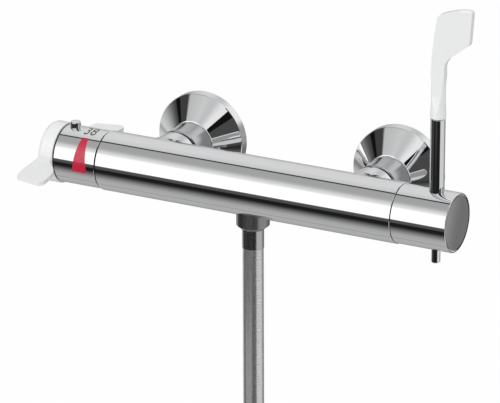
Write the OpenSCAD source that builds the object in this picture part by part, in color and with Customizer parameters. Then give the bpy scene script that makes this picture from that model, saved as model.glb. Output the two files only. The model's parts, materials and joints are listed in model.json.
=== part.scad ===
// Thermostatic shower mixer with a bar body, a winged temperature handle and a long flow lever.
// Frame: X runs along the body towards the flow lever, Y points into the wall, Z is up.
// The origin lies on the wall, midway between the two inlets.

/* [Body] */
// Distance between the centres of the two inlets
inlet_spacing = 150; // [140:1:160]
// Distance from the wall to the axis of the body
axis_gap = 73; // [70:1:80]
// Diameter of the body
body_d = 41; // [41:0.5:46]
// Length of the body between the two handles
body_l = 220; // [216:1:236]
// Chamfer at each end of the body
body_chamfer = 0.2; // [0.1:0.1:1]

/* [Bosses and inlets] */
// Diameter of the two bosses behind the body
boss_d = 32; // [30:0.5:34]
// Rounding at the end of a boss
boss_round = 2.5; // [1:0.5:2.5]
// Radius of the flare where a boss grows out of the body
flare_r = 9; // [6:0.5:10]
// Outer diameter of the thread at the end of a boss
spigot_d = 26.3; // [24:0.1:27]
// Diameter of the water way in a boss
inlet_bore_d = 16; // [14:0.5:17]
// Outer diameter of a union nut
union_nut_d = 32; // [30:0.5:34]
// Length of a union nut
union_nut_l = 19.2; // [16:0.2:22]
// Outer diameter of the wall thread
wall_thread_d = 20.96; // [20:0.02:21.4]
// Length of the wall thread behind the wall
wall_thread_l = 14; // [10:1:20]
// Diameter of the water way in a union
union_bore_d = 15; // [12:0.5:16]

/* [Escutcheons] */
// Outer diameter of an escutcheon
escutcheon_d = 65; // [60:1:72]
// Depth of an escutcheon from the wall to its neck
escutcheon_h = 20; // [16:0.5:22]
// Depth of the straight rim of an escutcheon
escutcheon_rim = 7.5; // [4:0.5:9]
// Wall of an escutcheon
escutcheon_wall = 1.4; // [1:0.1:2]

/* [Temperature handle] */
// Diameter of both handle sleeves
sleeve_d = 40; // [40:0.2:41]
// Wall of both handle sleeves
sleeve_wall = 1.6; // [1.2:0.1:1.8]
// Length of the temperature sleeve
temp_sleeve_l = 31.8; // [31:0.2:36]
// Chamfer at the ends of both handle sleeves
sleeve_chamfer = 0.15; // [0.1:0.05:0.4]
// Width of the dark gap between the body and the temperature sleeve
temp_gap = 0.7; // [0.3:0.1:0.9]
// Width of the dark gap between the sleeve and the white cap
cap_gap = 1; // [0.4:0.1:1.2]
// Diameter of the white cap
cap_d = 42; // [40:0.2:44]
// Length of the white cap
cap_l = 11.8; // [10:0.2:16]
// Rounding of the white cap
cap_round = 3.5; // [2:0.5:5]
// Distance from the axis to the tip of a wing
wing_reach = 55.5; // [48:0.5:60]
// Thickness of a wing
wing_t = 3; // [2.4:0.2:4]
// How far a wing reaches back over the sleeve
wing_back = 12; // [8:0.5:14]
// Slope of the wings at rest, rear wing up
wing_slope = 1.5; // [0:0.1:10]
// Diameter of the override button
button_d = 7.2; // [5.6:0.1:7.4]
// Height of the override button above the sleeve
button_h = 4.6; // [3.6:0.2:6]
// Travel of the override button
button_travel = 2; // [1:0.2:2.4]
// Distance from the left end of the sleeve to the centre of the override button
button_in = 6.5; // [6:0.1:8]

/* [Red band] */
// Distance from the left end of the sleeve to the centre of the band
band_in = 20; // [16:0.5:22]
// Width of the band at its upper end
band_top_w = 4.6; // [3:0.1:7]
// Width of the band at its lower end
band_low_w = 11.2; // [8:0.1:14]
// Angle above the horizontal at which the band ends
band_top_angle = 60; // [45:1:64]
// Angle below the horizontal at which the band ends
band_low_angle = 13; // [0:1:20]
// Depth of the band in the sleeve
band_t = 0.3; // [0.2:0.05:0.5]

/* [Flow handle] */
// Length of the flow sleeve
flow_sleeve_l = 39.2; // [38:0.2:44]
// Distance from the end of the body to the axis of the lever rod
lever_in = 24.5; // [24:0.1:26]
// Thickness of the end disc
end_disc_t = 1.8; // [1.4:0.1:2.4]
// Diameter of the lever rod at the sleeve
rod_low_d = 10; // [8.6:0.1:10.2]
// Diameter of the lever rod at the grip
rod_top_d = 9.8; // [9:0.1:11.2]
// Diameter of the foot of the lever rod
foot_d = 6; // [5:0.1:7]
// How far the foot comes out below the sleeve
foot_out = 10; // [6:0.5:14]
// Height of the lower end of the grip above the axis
grip_z = 70.2; // [56:0.2:80]
// Outer diameter of the socket of the grip
grip_socket_d = 10.6; // [10.2:0.1:12]
// Width of the bar of the grip
grip_bar_w = 9.5; // [9:0.1:11]
// Width of the blade of the grip, from the back of its bar to its corner
blade_w = 28.1; // [24:0.1:34]
// Height of the whole grip
grip_h = 75.6; // [70:0.2:90]
// Thickness of the blade
blade_t = 4.4; // [3.6:0.1:5.4]

/* [Thermostatic cartridge] */
// Diameter of the chamber for the cartridge
chamber_d = 30; // [29:0.2:31]
// Diameter of the threaded mouth of the chamber
mouth_d = 34; // [33.4:0.2:35]
// Depth of the threaded mouth
mouth_l = 10; // [9:0.5:12]
// Diameter of the bore in which the spool slides
spool_bore_d = 20; // [19.4:0.1:20.6]
// Length of the spool
spool_l = 14.5; // [13.5:0.1:15]
// Diameter of the temperature spindle
temp_spindle_d = 12; // [11.6:0.1:12.4]
// Diameter of the wax element
wax_d = 9; // [8.4:0.1:9.6]

/* [Flow headwork] */
// Diameter of the chamber for the headwork
headwork_d = 24; // [23:0.2:25]
// Diameter of the two ceramic discs
disc_d = 17.8; // [17:0.1:18.2]
// Thickness of a ceramic disc
disc_t = 3.5; // [3:0.1:4]
// Diameter of the flow spindle
flow_spindle_d = 8; // [7.4:0.1:8.4]

/* [Outlet and hose] */
// Outer diameter of the hose
hose_d = 14.3; // [13.8:0.1:14.6]
// Outer diameter of the two hose nuts
hose_nut_d = 22.6; // [22.4:0.1:25]
// Height of the hose nut at the outlet
hose_nut_h = 8.6; // [8:0.1:11]
// Outer diameter of the two ferrules
ferrule_d = 14.9; // [14.6:0.1:15.6]
// Length of the two ferrules
ferrule_l = 14; // [12:0.5:18]
// Outer diameter of the outlet thread
outlet_thread_d = 20.9; // [20:0.05:21]
// Clear gap between two turns of the stored coil
coil_gap = 0.9; // [0.6:0.1:2]

/* [Hidden] */
$fn = 96;

// Clearances and small common sizes
eps = 0.01;
fit_gap = 0.05;      // radial clearance of running and threaded pairs
turn_gap = 0.3;      // gap between the flow handle and the body
seat_gap = 0.3;      // gap under a piece that is only pressed on
chrome = [0.80, 0.81, 0.83];
brass = [0.80, 0.66, 0.35];
white = [0.93, 0.93, 0.92];
black = [0.12, 0.12, 0.13];
rubber = [0.10, 0.10, 0.10];
steel = [0.66, 0.67, 0.69];

// Main places
body_r = body_d / 2;
half_l = body_l / 2;
boss_x = inlet_spacing / 2;
boss_r = boss_d / 2;
sleeve_r = sleeve_d / 2;
sleeve_in_r = sleeve_r - sleeve_wall;
cap_r = cap_d / 2;
wing_corner = 10;        // turn by which the corner of a wing stays open, in degrees
hub_r = sleeve_in_r - fit_gap;

// Places along the inlets, measured from the wall towards the user
nut_back = escutcheon_h + seat_gap;
nut_front = nut_back + union_nut_l;
boss_end = nut_front + 1.2;
nut_lip = 4;
flange_t = 3;
washer_t = 2;
flange_front = nut_back + nut_lip + flange_t;
spigot_end = flange_front + washer_t;
spigot_r = spigot_d / 2;
inlet_r = inlet_bore_d / 2;
union_neck_r = wall_thread_d / 2 - 0.3;

// Non-return valves
check_l = 14;
check_seat_t = 2;
check_wall = 1.65;
check_r = inlet_r - fit_gap;
check_bore_r = check_r - check_wall;
check_spider_t = 1.5;
poppet_t = 1.6;
poppet_stem_r = 1.25;
check_travel = 2.2;

// Water ways inside the body
gallery_r = 7.5;
channel_r = 3;
channel_off = 13;
return_r = 2.8;
return_off = 11.8;
return_end = 10;

// Thermostatic cartridge, places on X
chamber_r = chamber_d / 2;
mouth_r = mouth_d / 2;
spool_bore_r = spool_bore_d / 2;
cart_wall = 2;
cart_r = spool_bore_r + cart_wall;
land_r = chamber_r - fit_gap;
land_w = 6;
window_r = 2.5;
hot_x = -boss_x;
hot_half = 8.5;
land_a = hot_x - hot_half - land_w;
land_b = hot_x + hot_half;
cold_x = land_b + land_w + 4.0;
chamber_end = cold_x + 5.5;
nose_l = 6;
nose_bore_r = 5.5;
plate_t = 2;
flange_x = -half_l + mouth_l;
cart_flange_t = 3;
neck_r = 8.9;
neck_gap = 2;           // gap between the hub and the neck
nut_hex_l = 6;
nut_hex_in = 1.2;
o_ring_r = 1.2;
groove_d = 2;

// Moving pieces of the cartridge
temp_spindle_r = temp_spindle_d / 2 - fit_gap;
spindle_head_r = 5;
spindle_head_l = 10;
thrust_x = flange_x + 4;
thrust_t = 1.5;
cup_r = 3.45;
cup_l = 19.5;
disc_x = thrust_x + thrust_t + 1.7;
guide_t = 1.5;
pin_r = 1.5;
wax_r = wax_d / 2;
wax_collar_r = 6;
collar_x = disc_x + guide_t + 4.8;
wax_end = cold_x + 1.0;
spool_x = hot_x + 1.5;
spool_r = spool_bore_r - fit_gap;
spool_wall = 2.4;
web_x = spool_x + 3.5;
web_t = 3;

// Temperature handle, places on X
temp_in = -half_l - temp_gap;
temp_end = temp_in - temp_sleeve_l;
cap_in = temp_end - cap_gap;
cap_end = cap_in - cap_l;
button_x = temp_end + button_in;
hub_ring_wall = 1.95;
hub_in = temp_end + 14.5;
neck_end = hub_in + neck_gap;
hub_web_l = temp_end + 3.9;
hub_web_t = 5.2;
hub_boss_r = 8;
hub_rib_l = 5;
hub_rib_t = 1.6;
hub_boss_out = 0.8;
hub_socket_end = hub_web_l + 2;
screw_r = 1.7;
screw_head_r = 3.8;
screw_head_t = 2.5;
spindle_end = hub_socket_end + 0.4;
button_r = button_d / 2;
button_floor = 8.5;
button_head_low = 15.8;
stem_r = 1.5;
foot_low = 12.4;
foot_top = 14.4;
foot_w = 3;
stop_x = -half_l - 8;
stop_t = 2;
stop_rim_r = sleeve_in_r - 1.6;
stop_rim_wall = 1.2;
stop_rim_l = stop_x - hub_in - 3.2;
lug_w = 4;
lug_angle = 20;
band_x = temp_end + band_in;

// Flow handle, places on X
flow_in = half_l + turn_gap;
flow_end = flow_in + flow_sleeve_l;
lever_x = half_l + lever_in;
rod_low_r = rod_low_d / 2;
rod_top_r = rod_top_d / 2;
foot_r = foot_d / 2;
rod_step_z = -8;
rod_end_z = -sleeve_r - foot_out;
rod_in_grip = 9;
grip_gap = 0.4;          // dark joint between the rod and the grip
rod_spigot_r = 3.2;
disc_gap = 0.2;
end_round = 0.7;         // rounding at the outer end of the flow sleeve
cap_pocket_r = sleeve_r - end_round - 0.3;
end_disc_in = flow_end - end_disc_t - disc_gap;
collar_l = 1.8;          // collar of the end disc
flow_hub_out = end_disc_in - collar_l - 0.5;
set_screw_in = lever_x + rod_low_r + fit_gap;
set_screw_end = flow_hub_out - 0.5;
flow_web_x = lever_x - rod_low_r - 5.0;
flow_web_t = 2;
flow_screw_head_t = 2.2;
flow_hub_in = half_l + 9;
flow_boss_r = 8.5;
set_screw_r = 4;

// Flow headwork, places on X
headwork_r = headwork_d / 2;
headwork_floor = half_l - 22;
disc_r = disc_d / 2;
seal_t = 1.5;
cavity_r = disc_r + 0.1;
fixed_x = headwork_floor + seal_t;
turning_x = fixed_x + disc_t + fit_gap;
drive_x = turning_x + disc_t;
drive_t = 3;
washer_x = drive_x + drive_t;
thrust_washer_t = 0.8;
flow_spindle_r = flow_spindle_d / 2 - fit_gap;
headwork_flange_t = 4;
headwork_neck_r = 7.5;
headwork_neck_l = 4.5;
headwork_hex_out = 3.4;
clip_x = half_l + headwork_flange_t + headwork_neck_l + 0.1;
clip_t = 0.8;
clip_groove = 0.7;

// Outlet and hose, places on Z
pad_r = 10.9;
nut_top_z = -body_r - 0.8;
nut_low_z = nut_top_z - hose_nut_h;
hose_nut_r = hose_nut_d / 2;
nut_floor_t = 2.7;
nut_slope_h = 2.9;
outlet_thread_r = outlet_thread_d / 2;
insert_flange_t = 1.2;
hose_washer_t = 1.6;
insert_flange_z = nut_low_z + nut_floor_t;
washer_low_z = insert_flange_z + insert_flange_t;
nipple_low_z = washer_low_z + hose_washer_t;
nipple_top_z = -14;
nipple_root_r = 9.25;
nipple_bore_r = 5.5;
tail_r = 5.4;
tail_bore_r = 3.8;
ferrule_r = ferrule_d / 2;
ferrule_low_z = nut_low_z - ferrule_l;
hose_r = hose_d / 2;

// Route of the hose: straight down out of the picture, then stored as an upright coil
coil_r = 73.5;
coil_z = -262;
coil_turns = 2.75;
coil_x = -coil_r;
coil_rings = 24;
coil_sides = 6;
run_sides = 12;
coil_lead = hose_d;
run_points = [[0, -axis_gap, ferrule_low_z], [0, -axis_gap, -80], [0, -axis_gap, -120],
    [0, -axis_gap, -160], [0, -axis_gap, -200], [0, -axis_gap, coil_z + coil_lead]];
coil_pitch = hose_d + coil_gap;
coil_step = 8;

// Points of the coil: a straight lead-in, the turns side by side towards the user, a straight end
// The last quarter turn steps further out, so that the far nut clears the turn beside it
function ease(u) = u < 0 ? 0 : u > 1 ? 1 : u * u * (3 - 2 * u);
function coil_point(t) = let(a = -360 * t)
    [coil_x + coil_r * cos(a),
    -axis_gap - coil_pitch * t - coil_step * ease((t - coil_turns + 0.25) / 0.25),
    coil_z + coil_r * sin(a)];
turn_steps = round(coil_turns * coil_rings);
coil_core = [for (i = [0 : turn_steps]) coil_point(i / coil_rings)];
coil_last = coil_core[turn_steps];
coil_path = concat([[0, -axis_gap, coil_z + coil_lead]],
    coil_core,
    [coil_last + [coil_lead, 0, 0]]);
far_start = coil_last + [coil_lead, 0, 0];
far_nut_h = 13;
far_bore_r = 10.53;

// Vector helpers
function unit(v) = v / norm(v);
function tangent(p, i) = i == 0 ? unit(p[1] - p[0])
    : i == len(p) - 1 ? unit(p[i] - p[i - 1])
    : unit(unit(p[i + 1] - p[i]) + unit(p[i] - p[i - 1]));
// Frames carried along the path without twist
function turned_side(s, t) = unit(s - (s * t) * t);
function sides_along(p, s0) = [for (i = 0, s = turned_side(s0, tangent(p, 0)); i < len(p);
    i = i + 1, s = i < len(p) ? turned_side(s, tangent(p, i)) : s) s];

// Least gap between parts of a tube that are more than a third of a turn apart
function tube_gap(p, r, skip) = min([for (i = [0 : len(p) - 1]) for (j = [i + skip : 1 : len(p) - 1])
    norm(p[i] - p[j])]) - 2 * r;
coil_least_gap = tube_gap(coil_path, hose_r, round(coil_rings / 3));
echo(hose_coil_least_gap = coil_least_gap);

// One closed tube of round section along a path
module swept(path, r, sides, s0) {
    up = sides_along(path, s0);
    rings = len(path);
    points = [for (i = [0 : rings - 1]) let(t = tangent(path, i), u = up[i], v = cross(t, u))
        for (k = [0 : sides - 1]) let(a = 360 * k / sides)
            path[i] + r * cos(a) * u + r * sin(a) * v];
    walls = [for (i = [0 : rings - 2]) for (k = [0 : sides - 1])
        let(a = i * sides + k, b = i * sides + (k + 1) % sides)
        for (f = [[a, a + sides, b], [b, a + sides, b + sides]]) f];
    first = [for (k = [1 : sides - 2]) [0, k, k + 1]];
    last_ring = (rings - 1) * sides;
    last = [for (k = [1 : sides - 2]) [last_ring, last_ring + k + 1, last_ring + k]];
    polyhedron(points = points, faces = concat(first, walls, last));
}

// A compression spring that stands on z = 0, eight rings to a turn
module spring(mean_r, wire_r, height, turns) {
    rings = round(turns * 8);
    rise = height - 2 * wire_r;
    path = [for (i = [0 : rings]) let(a = 360 * turns * i / rings)
        [mean_r * cos(a), mean_r * sin(a), wire_r + rise * i / rings]];
    echo(spring_least_gap = tube_gap(path, wire_r, 3));
    swept(path, wire_r, 6, [1, 0, 0]);
}

// Turns a shape that stands on z = 0 so that it runs along X on the axis of the body
module on_axis(x) {
    translate([x, -axis_gap, 0]) rotate([0, 90, 0]) children();
}
// Turns a shape that stands on z = 0 so that it runs towards the user from the wall
module from_wall(x, reach) {
    translate([x, -reach, 0]) rotate([90, 0, 0]) children();
}
// A round bar or bore on the axis of the body, between two places on X
module bar(x1, x2, r) {
    on_axis(x1) cylinder(r = r, h = x2 - x1);
}
// A round bar or bore on an inlet, between two distances from the wall
module inlet_bar(x, a, b, r) {
    from_wall(x, a) cylinder(r = r, h = b - a);
}
// A ring of round section around the axis of the body
module o_ring(x, r, section) {
    on_axis(x) rotate_extrude() translate([r, 0]) circle(r = section, $fn = 24);
}
// A turned piece from an outline of radius and place, closed on its own axis
module turned(outline) {
    rotate_extrude() polygon(outline);
}

// Quarter arc points around a centre, from one angle to another
function arc(c, r, a1, a2, steps) = [for (i = [0 : steps]) let(a = a1 + (a2 - a1) * i / steps)
    c + r * [cos(a), sin(a)]];

// Slices of a rear boss: distance from the axis of the body, half width along X, half height
boss_l = axis_gap - boss_end;
flare_low = 2.5;
flare_end = body_r + flare_r - flare_low;
land = 0.42 * body_r;
land_z = sqrt(body_r * body_r - land * land);
rise = land_z - boss_r;
land_end = land + 2 * rise * land_z / land;
function flare_w(y) = let(d = min(flare_r, max(0, flare_end - y)))
    boss_r + flare_r - sqrt(flare_r * flare_r - d * d);
function flare_h(y) = y < land ? land_z - 0.04 : y < land_end
    ? boss_r + rise * pow((land_end - y) / (land_end - land), 2) : boss_r;
flare_steps = [for (i = [0 : 11]) land + (flare_end - land) * i / 11];
boss_slices = concat([for (y = concat([0.15 * body_r], flare_steps)) [y, flare_w(y), flare_h(y)]],
    [for (a = [0 : 22.5 : 90]) let(r = boss_r - boss_round * (1 - cos(a)))
        [boss_l - boss_round * (1 - sin(a)), r, r]]);
boss_sides = 48;

// Rear boss: oval slices that run out of the body into a round end, joined by flat facets
module boss(x) {
    rings = len(boss_slices);
    n = boss_sides;
    points = [for (s = boss_slices) for (k = [0 : n - 1]) let(a = 360 * k / n)
        [x + s[1] * cos(a), -axis_gap + s[0], s[2] * sin(a)]];
    walls = [for (i = [0 : rings - 2]) for (k = [0 : n - 1]) let(a = i * n + k, b = i * n + (k + 1) % n)
        for (f = [[a, b, a + n], [b, b + n, a + n]]) f];
    first = [for (k = [1 : n - 2]) [0, k + 1, k]];
    last_ring = (rings - 1) * n;
    last = [for (k = [1 : n - 2]) [last_ring, last_ring + k, last_ring + k + 1]];
    polyhedron(points = points, faces = concat(first, walls, last));
}

module mixer_body() {
    color(chrome) difference() {
        union() {
            on_axis(-half_l) turned([[0, 0], [body_r - body_chamfer, 0], [body_r, body_chamfer],
                [body_r, body_l - body_chamfer], [body_r - body_chamfer, body_l], [0, body_l]]);
            for (s = [-1, 1]) {
                boss(s * boss_x);
                inlet_bar(s * boss_x, spigot_end, axis_gap - chamber_r, spigot_r);
            }
            translate([0, -axis_gap, -body_r - 0.6]) cylinder(r = pad_r, h = 8);
        }
        // Chamber of the thermostatic cartridge with its threaded mouth
        bar(-half_l - 1, chamber_end, chamber_r);
        bar(-half_l - 1, flange_x, mouth_r);
        // Gallery for mixed water, and the chamber of the headwork
        bar(chamber_end - 1, headwork_floor + 1, gallery_r);
        bar(headwork_floor, half_l + 1, headwork_r);
        // Inlets: hot water enters the cartridge chamber, cold water enters the side channel
        inlet_bar(-boss_x, spigot_end - 1, axis_gap - 5, inlet_r);
        inlet_bar(boss_x, spigot_end - 1, axis_gap - channel_off + 1, inlet_r);
        translate([chamber_end - 3, -axis_gap + channel_off, 0]) rotate([0, 90, 0])
            cylinder(r = channel_r, h = boss_x - chamber_end + 3);
        // Return channel from the headwork to the outlet
        translate([-2, -axis_gap, -return_off]) rotate([0, 90, 0])
            cylinder(r = return_r, h = half_l - return_end + 2);
        translate([0, -axis_gap, -body_r - 2]) cylinder(r = nipple_bore_r, h = body_r + 2 - return_off);
        translate([0, -axis_gap, -body_r - 2])
            cylinder(r = nipple_root_r + fit_gap, h = body_r + 2 + nipple_top_z);
    }
}

module escutcheon(x) {
    back_r = escutcheon_d / 2;
    neck_r = union_nut_d / 2 + 0.9;
    wall = escutcheon_wall;
    neck_round = 1.5;
    lean = atan((back_r - 0.4 - neck_r) / (escutcheon_h - escutcheon_rim));
    from_wall(x, 0) turned(concat([[back_r - wall, 0], [back_r, 0], [back_r, escutcheon_rim - 0.4],
        [back_r - 0.4, escutcheon_rim]],
        arc([neck_r - neck_round * cos(lean), escutcheon_h - neck_round], neck_round, lean, 90, 6),
        [[union_neck_r + 0.2, escutcheon_h], [union_neck_r + 0.2, escutcheon_h - 2 * wall],
        [neck_r - neck_round, escutcheon_h - 2 * wall], [back_r - wall, escutcheon_rim - wall + 0.4]]));
}
module hot_escutcheon() {
    color(chrome) escutcheon(-boss_x);
}
module cold_escutcheon() {
    color(chrome) escutcheon(boss_x);
}

// Wall connector: thread for the wall, plain neck, and a flange that the union nut pulls on
module wall_union(x) {
    difference() {
        union() {
            from_wall(x, -wall_thread_l) turned([[0, 0], [wall_thread_d / 2 - 1, 0],
                [wall_thread_d / 2, 1], [wall_thread_d / 2, wall_thread_l], [0, wall_thread_l]]);
            inlet_bar(x, -eps, flange_front, union_neck_r);
            inlet_bar(x, flange_front - flange_t, flange_front, spigot_r - 0.4);
        }
        inlet_bar(x, -wall_thread_l - 1, flange_front + 1, union_bore_d / 2);
    }
}
module hot_union() {
    color(brass) wall_union(-boss_x);
}
module cold_union() {
    color(brass) wall_union(boss_x);
}

// Round union nut with a smooth outside
module union_nut(x) {
    r = union_nut_d / 2;
    edge = 0.4;
    difference() {
        from_wall(x, nut_back) turned([[0, 0], [r - edge, 0], [r, edge], [r, union_nut_l - edge],
            [r - edge, union_nut_l], [0, union_nut_l]]);
        inlet_bar(x, nut_back + nut_lip, nut_front + 1, spigot_r + fit_gap);
        inlet_bar(x, nut_back - 1, nut_front + 1, union_neck_r + 0.2);
    }
}
module hot_union_nut() {
    color(chrome) union_nut(-boss_x);
}
module cold_union_nut() {
    color(chrome) union_nut(boss_x);
}

// Rubber washer with a mesh plate across its hole
module filter_washer(x) {
    difference() {
        inlet_bar(x, flange_front, spigot_end, spigot_r - 0.5);
        inlet_bar(x, flange_front + 0.6, spigot_end + 1, inlet_r - 0.6);
        for (i = [-2 : 2]) for (j = [-2 : 2]) if (abs(i) + abs(j) < 4)
            translate([x + 2.4 * i, 0, 2.4 * j]) rotate([90, 0, 0])
                cylinder(r = 0.8, h = spigot_end, $fn = 16);
    }
}
module hot_filter_washer() {
    color(rubber) filter_washer(-boss_x);
}
module cold_filter_washer() {
    color(rubber) filter_washer(boss_x);
}

// Cage of a non-return valve: seat towards the wall, three-armed guide towards the body
module check_housing(x) {
    difference() {
        inlet_bar(x, spigot_end, spigot_end + check_l, check_r);
        inlet_bar(x, spigot_end - 1, spigot_end + check_seat_t + 1, check_bore_r - 1.7);
        inlet_bar(x, spigot_end + check_seat_t, spigot_end + check_l - check_spider_t, check_bore_r);
        inlet_bar(x, spigot_end + 2, spigot_end + check_l + 1, poppet_stem_r + fit_gap);
        for (i = [0 : 2])
            from_wall(x, spigot_end + check_l - check_spider_t - 1) rotate([0, 0, 120 * i])
                translate([3.9, 0, 0]) cylinder(r = 1.9, h = check_spider_t + 2);
    }
}
module hot_check_housing() {
    color(white) check_housing(-boss_x);
}
module cold_check_housing() {
    color(white) check_housing(boss_x);
}

module check_poppet(x) {
    seat = spigot_end + check_seat_t + fit_gap;
    from_wall(x, seat) turned([[0, 0], [check_bore_r - 0.9, 0], [check_bore_r - 0.6, 0.6],
        [check_bore_r - 0.6, poppet_t], [2.2, poppet_t], [poppet_stem_r, poppet_t + 0.9],
        [poppet_stem_r, check_l - check_seat_t + 1], [0, check_l - check_seat_t + 1]]);
}
module hot_check_poppet() {
    color(black) check_poppet(-boss_x);
}
module cold_check_poppet() {
    color(black) check_poppet(boss_x);
}

module check_spring(x) {
    low = spigot_end + check_seat_t + poppet_t + 0.25;
    high = spigot_end + check_l - check_spider_t - fit_gap;
    from_wall(x, low) spring(3.4, 0.3, high - low, 4);
}
module hot_check_spring() {
    color(steel) check_spring(-boss_x);
}
module cold_check_spring() {
    color(steel) check_spring(boss_x);
}

// Cartridge housing: neck, flange, two sealed lands with the hot and cold windows between them
module cartridge_housing() {
    land_mid_a = land_a + land_w / 2;
    land_mid_b = land_b + land_w / 2;
    color(brass) difference() {
        union() {
            bar(neck_end, flange_x, neck_r);
            bar(flange_x - cart_flange_t, flange_x, mouth_r - 0.2);
            bar(flange_x - eps, chamber_end, cart_r);
            bar(land_a, land_a + land_w, land_r);
            bar(land_b, land_b + land_w, land_r);
            bar(chamber_end - eps, chamber_end + nose_l, gallery_r - fit_gap);
        }
        bar(neck_end - 1, thrust_x, temp_spindle_r + fit_gap);
        bar(thrust_x, chamber_end - plate_t, spool_bore_r);
        bar(chamber_end - plate_t - 1, chamber_end + nose_l + 1, nose_bore_r);
        for (x = [hot_x, cold_x]) for (i = [0 : 5])
            translate([x, -axis_gap, 0]) rotate([60 * i + 30, 0, 0])
                cylinder(r = window_r, h = cart_r + 1, $fn = 32);
        for (x = [land_mid_a, land_mid_b]) difference() {
            bar(x - o_ring_r, x + o_ring_r, land_r + 1);
            bar(x - o_ring_r - 1, x + o_ring_r + 1, land_r - groove_d);
        }
        // Keyway that keeps the regulating screw from turning
        translate([thrust_x, -axis_gap - 1.5, -cart_r + 0.6]) cube([spool_x - thrust_x - 3, 3, cart_r]);
    }
}

// Retaining nut of the cartridge, hexagonal where a spanner holds it
module cartridge_nut() {
    color(brass) difference() {
        union() {
            bar(-half_l - eps, flange_x - cart_flange_t, mouth_r - fit_gap);
            translate([-half_l - nut_hex_l, -axis_gap, 0]) rotate([0, 90, 0])
                cylinder(r = mouth_r - nut_hex_in, h = nut_hex_l, $fn = 6);
        }
        bar(-half_l - nut_hex_l - 1, flange_x, neck_r + fit_gap);
    }
}

module cartridge_o_rings() {
    color(rubber) for (x = [land_a + land_w / 2, land_b + land_w / 2])
        o_ring(x, land_r - groove_d / 2, o_ring_r - 0.3);
}

// Stop ring on the neck of the cartridge, with the lug that ends the turn at the set temperature
module stop_ring() {
    color(black) {
        difference() {
            bar(stop_x, stop_x + stop_t, stop_rim_r);
            bar(stop_x - 1, stop_x + stop_t + 1, neck_r + fit_gap);
        }
        difference() {
            bar(stop_x - stop_rim_l, stop_x + eps, stop_rim_r);
            bar(stop_x - stop_rim_l - 1, stop_x + 1, stop_rim_r - stop_rim_wall);
        }
        intersection() {
            difference() {
                bar(stop_x - stop_rim_l, stop_x + eps, stop_rim_r - 0.2);
                bar(stop_x - stop_rim_l - 1, stop_x + 1, foot_top + seat_gap);
            }
            translate([stop_x - stop_rim_l, -axis_gap, 0]) rotate([lug_angle, 0, 0])
                translate([0, -lug_w / 2, 0]) cube([stop_rim_l, lug_w, sleeve_r]);
        }
    }
}

module return_spring() {
    low = web_x + web_t + fit_gap;
    high = chamber_end - plate_t - fit_gap;
    color(steel) on_axis(low) spring(6.2, 0.5, high - low, 4);
}

// Temperature spindle: drive head, sealed shaft and the threaded cup that moves the screw
module temperature_spindle() {
    color(brass) difference() {
        union() {
            bar(spindle_end, spindle_end + spindle_head_l, spindle_head_r);
            bar(spindle_end + spindle_head_l, thrust_x + eps, temp_spindle_r);
            bar(thrust_x + fit_gap, thrust_x + thrust_t, spool_bore_r - 2);
        }
        bar(spindle_end - 1, spindle_end + 12, screw_r);
        bar(thrust_x + thrust_t - cup_l, thrust_x + thrust_t + 1, cup_r);
        for (x = [-half_l - 8, -half_l - 3]) difference() {
            bar(x - 0.8, x + 0.8, temp_spindle_r + 1);
            bar(x - 2, x + 2, temp_spindle_r - 1.3);
        }
    }
}

module temperature_seals() {
    color(rubber) for (x = [-half_l - 8, -half_l - 3])
        o_ring(x, temp_spindle_r - 0.65, 0.62);
}

// Regulating screw: thread in the cup of the spindle, guide disc with a key
module regulating_screw() {
    color(brass) {
        bar(thrust_x + thrust_t - cup_l + 2.5, disc_x + eps, cup_r - fit_gap);
        bar(disc_x, disc_x + guide_t, spool_bore_r - 0.1);
        translate([disc_x, -axis_gap - 1.4, -cart_r + 0.8]) cube([guide_t, 2.8, 4]);
    }
}

module overload_spring() {
    color(steel) on_axis(disc_x + guide_t + fit_gap)
        spring(3.9, 0.5, collar_x - disc_x - guide_t - 2 * fit_gap, 2.5);
}

// Wax element: pin against the screw, collar for the overload spring, sensing bulb
module wax_element() {
    bulb = wax_end - collar_x;
    color([0.72, 0.45, 0.25]) on_axis(disc_x + guide_t) turned([[0, 0], [pin_r, 0],
        [pin_r, collar_x - disc_x - guide_t], [wax_collar_r, collar_x - disc_x - guide_t],
        [wax_collar_r, collar_x - disc_x - guide_t + 2], [wax_r, collar_x - disc_x - guide_t + 2],
        [wax_r, collar_x - disc_x - guide_t + bulb - 1], [wax_r - 1, collar_x - disc_x - guide_t + bulb],
        [0, collar_x - disc_x - guide_t + bulb]]);
}

// Mixing spool: ring between the hot and cold windows, with a pierced web on the wax element
module mixing_spool() {
    color(white) difference() {
        union() {
            difference() {
                bar(spool_x, spool_x + spool_l, spool_r);
                bar(spool_x - 1, spool_x + spool_l + 1, spool_r - spool_wall);
            }
            bar(web_x, web_x + web_t, spool_r - 1);
        }
        bar(web_x - 1, web_x + web_t + 1, wax_r + fit_gap);
        for (i = [0 : 5]) translate([web_x - 1, -axis_gap, 0]) rotate([60 * i, 0, 0])
            translate([0, 0, 6.2]) rotate([0, 90, 0]) cylinder(r = 1.1, h = web_t + 2, $fn = 24);
    }
}

// Points of a smooth curve between two ends, pulled by two control points
function curve(a, b, c, d, steps) = [for (i = [0 : steps]) let(t = i / steps, u = 1 - t)
    u * u * u * a + 3 * u * u * t * b + 3 * u * t * t * c + t * t * t * d];

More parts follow.
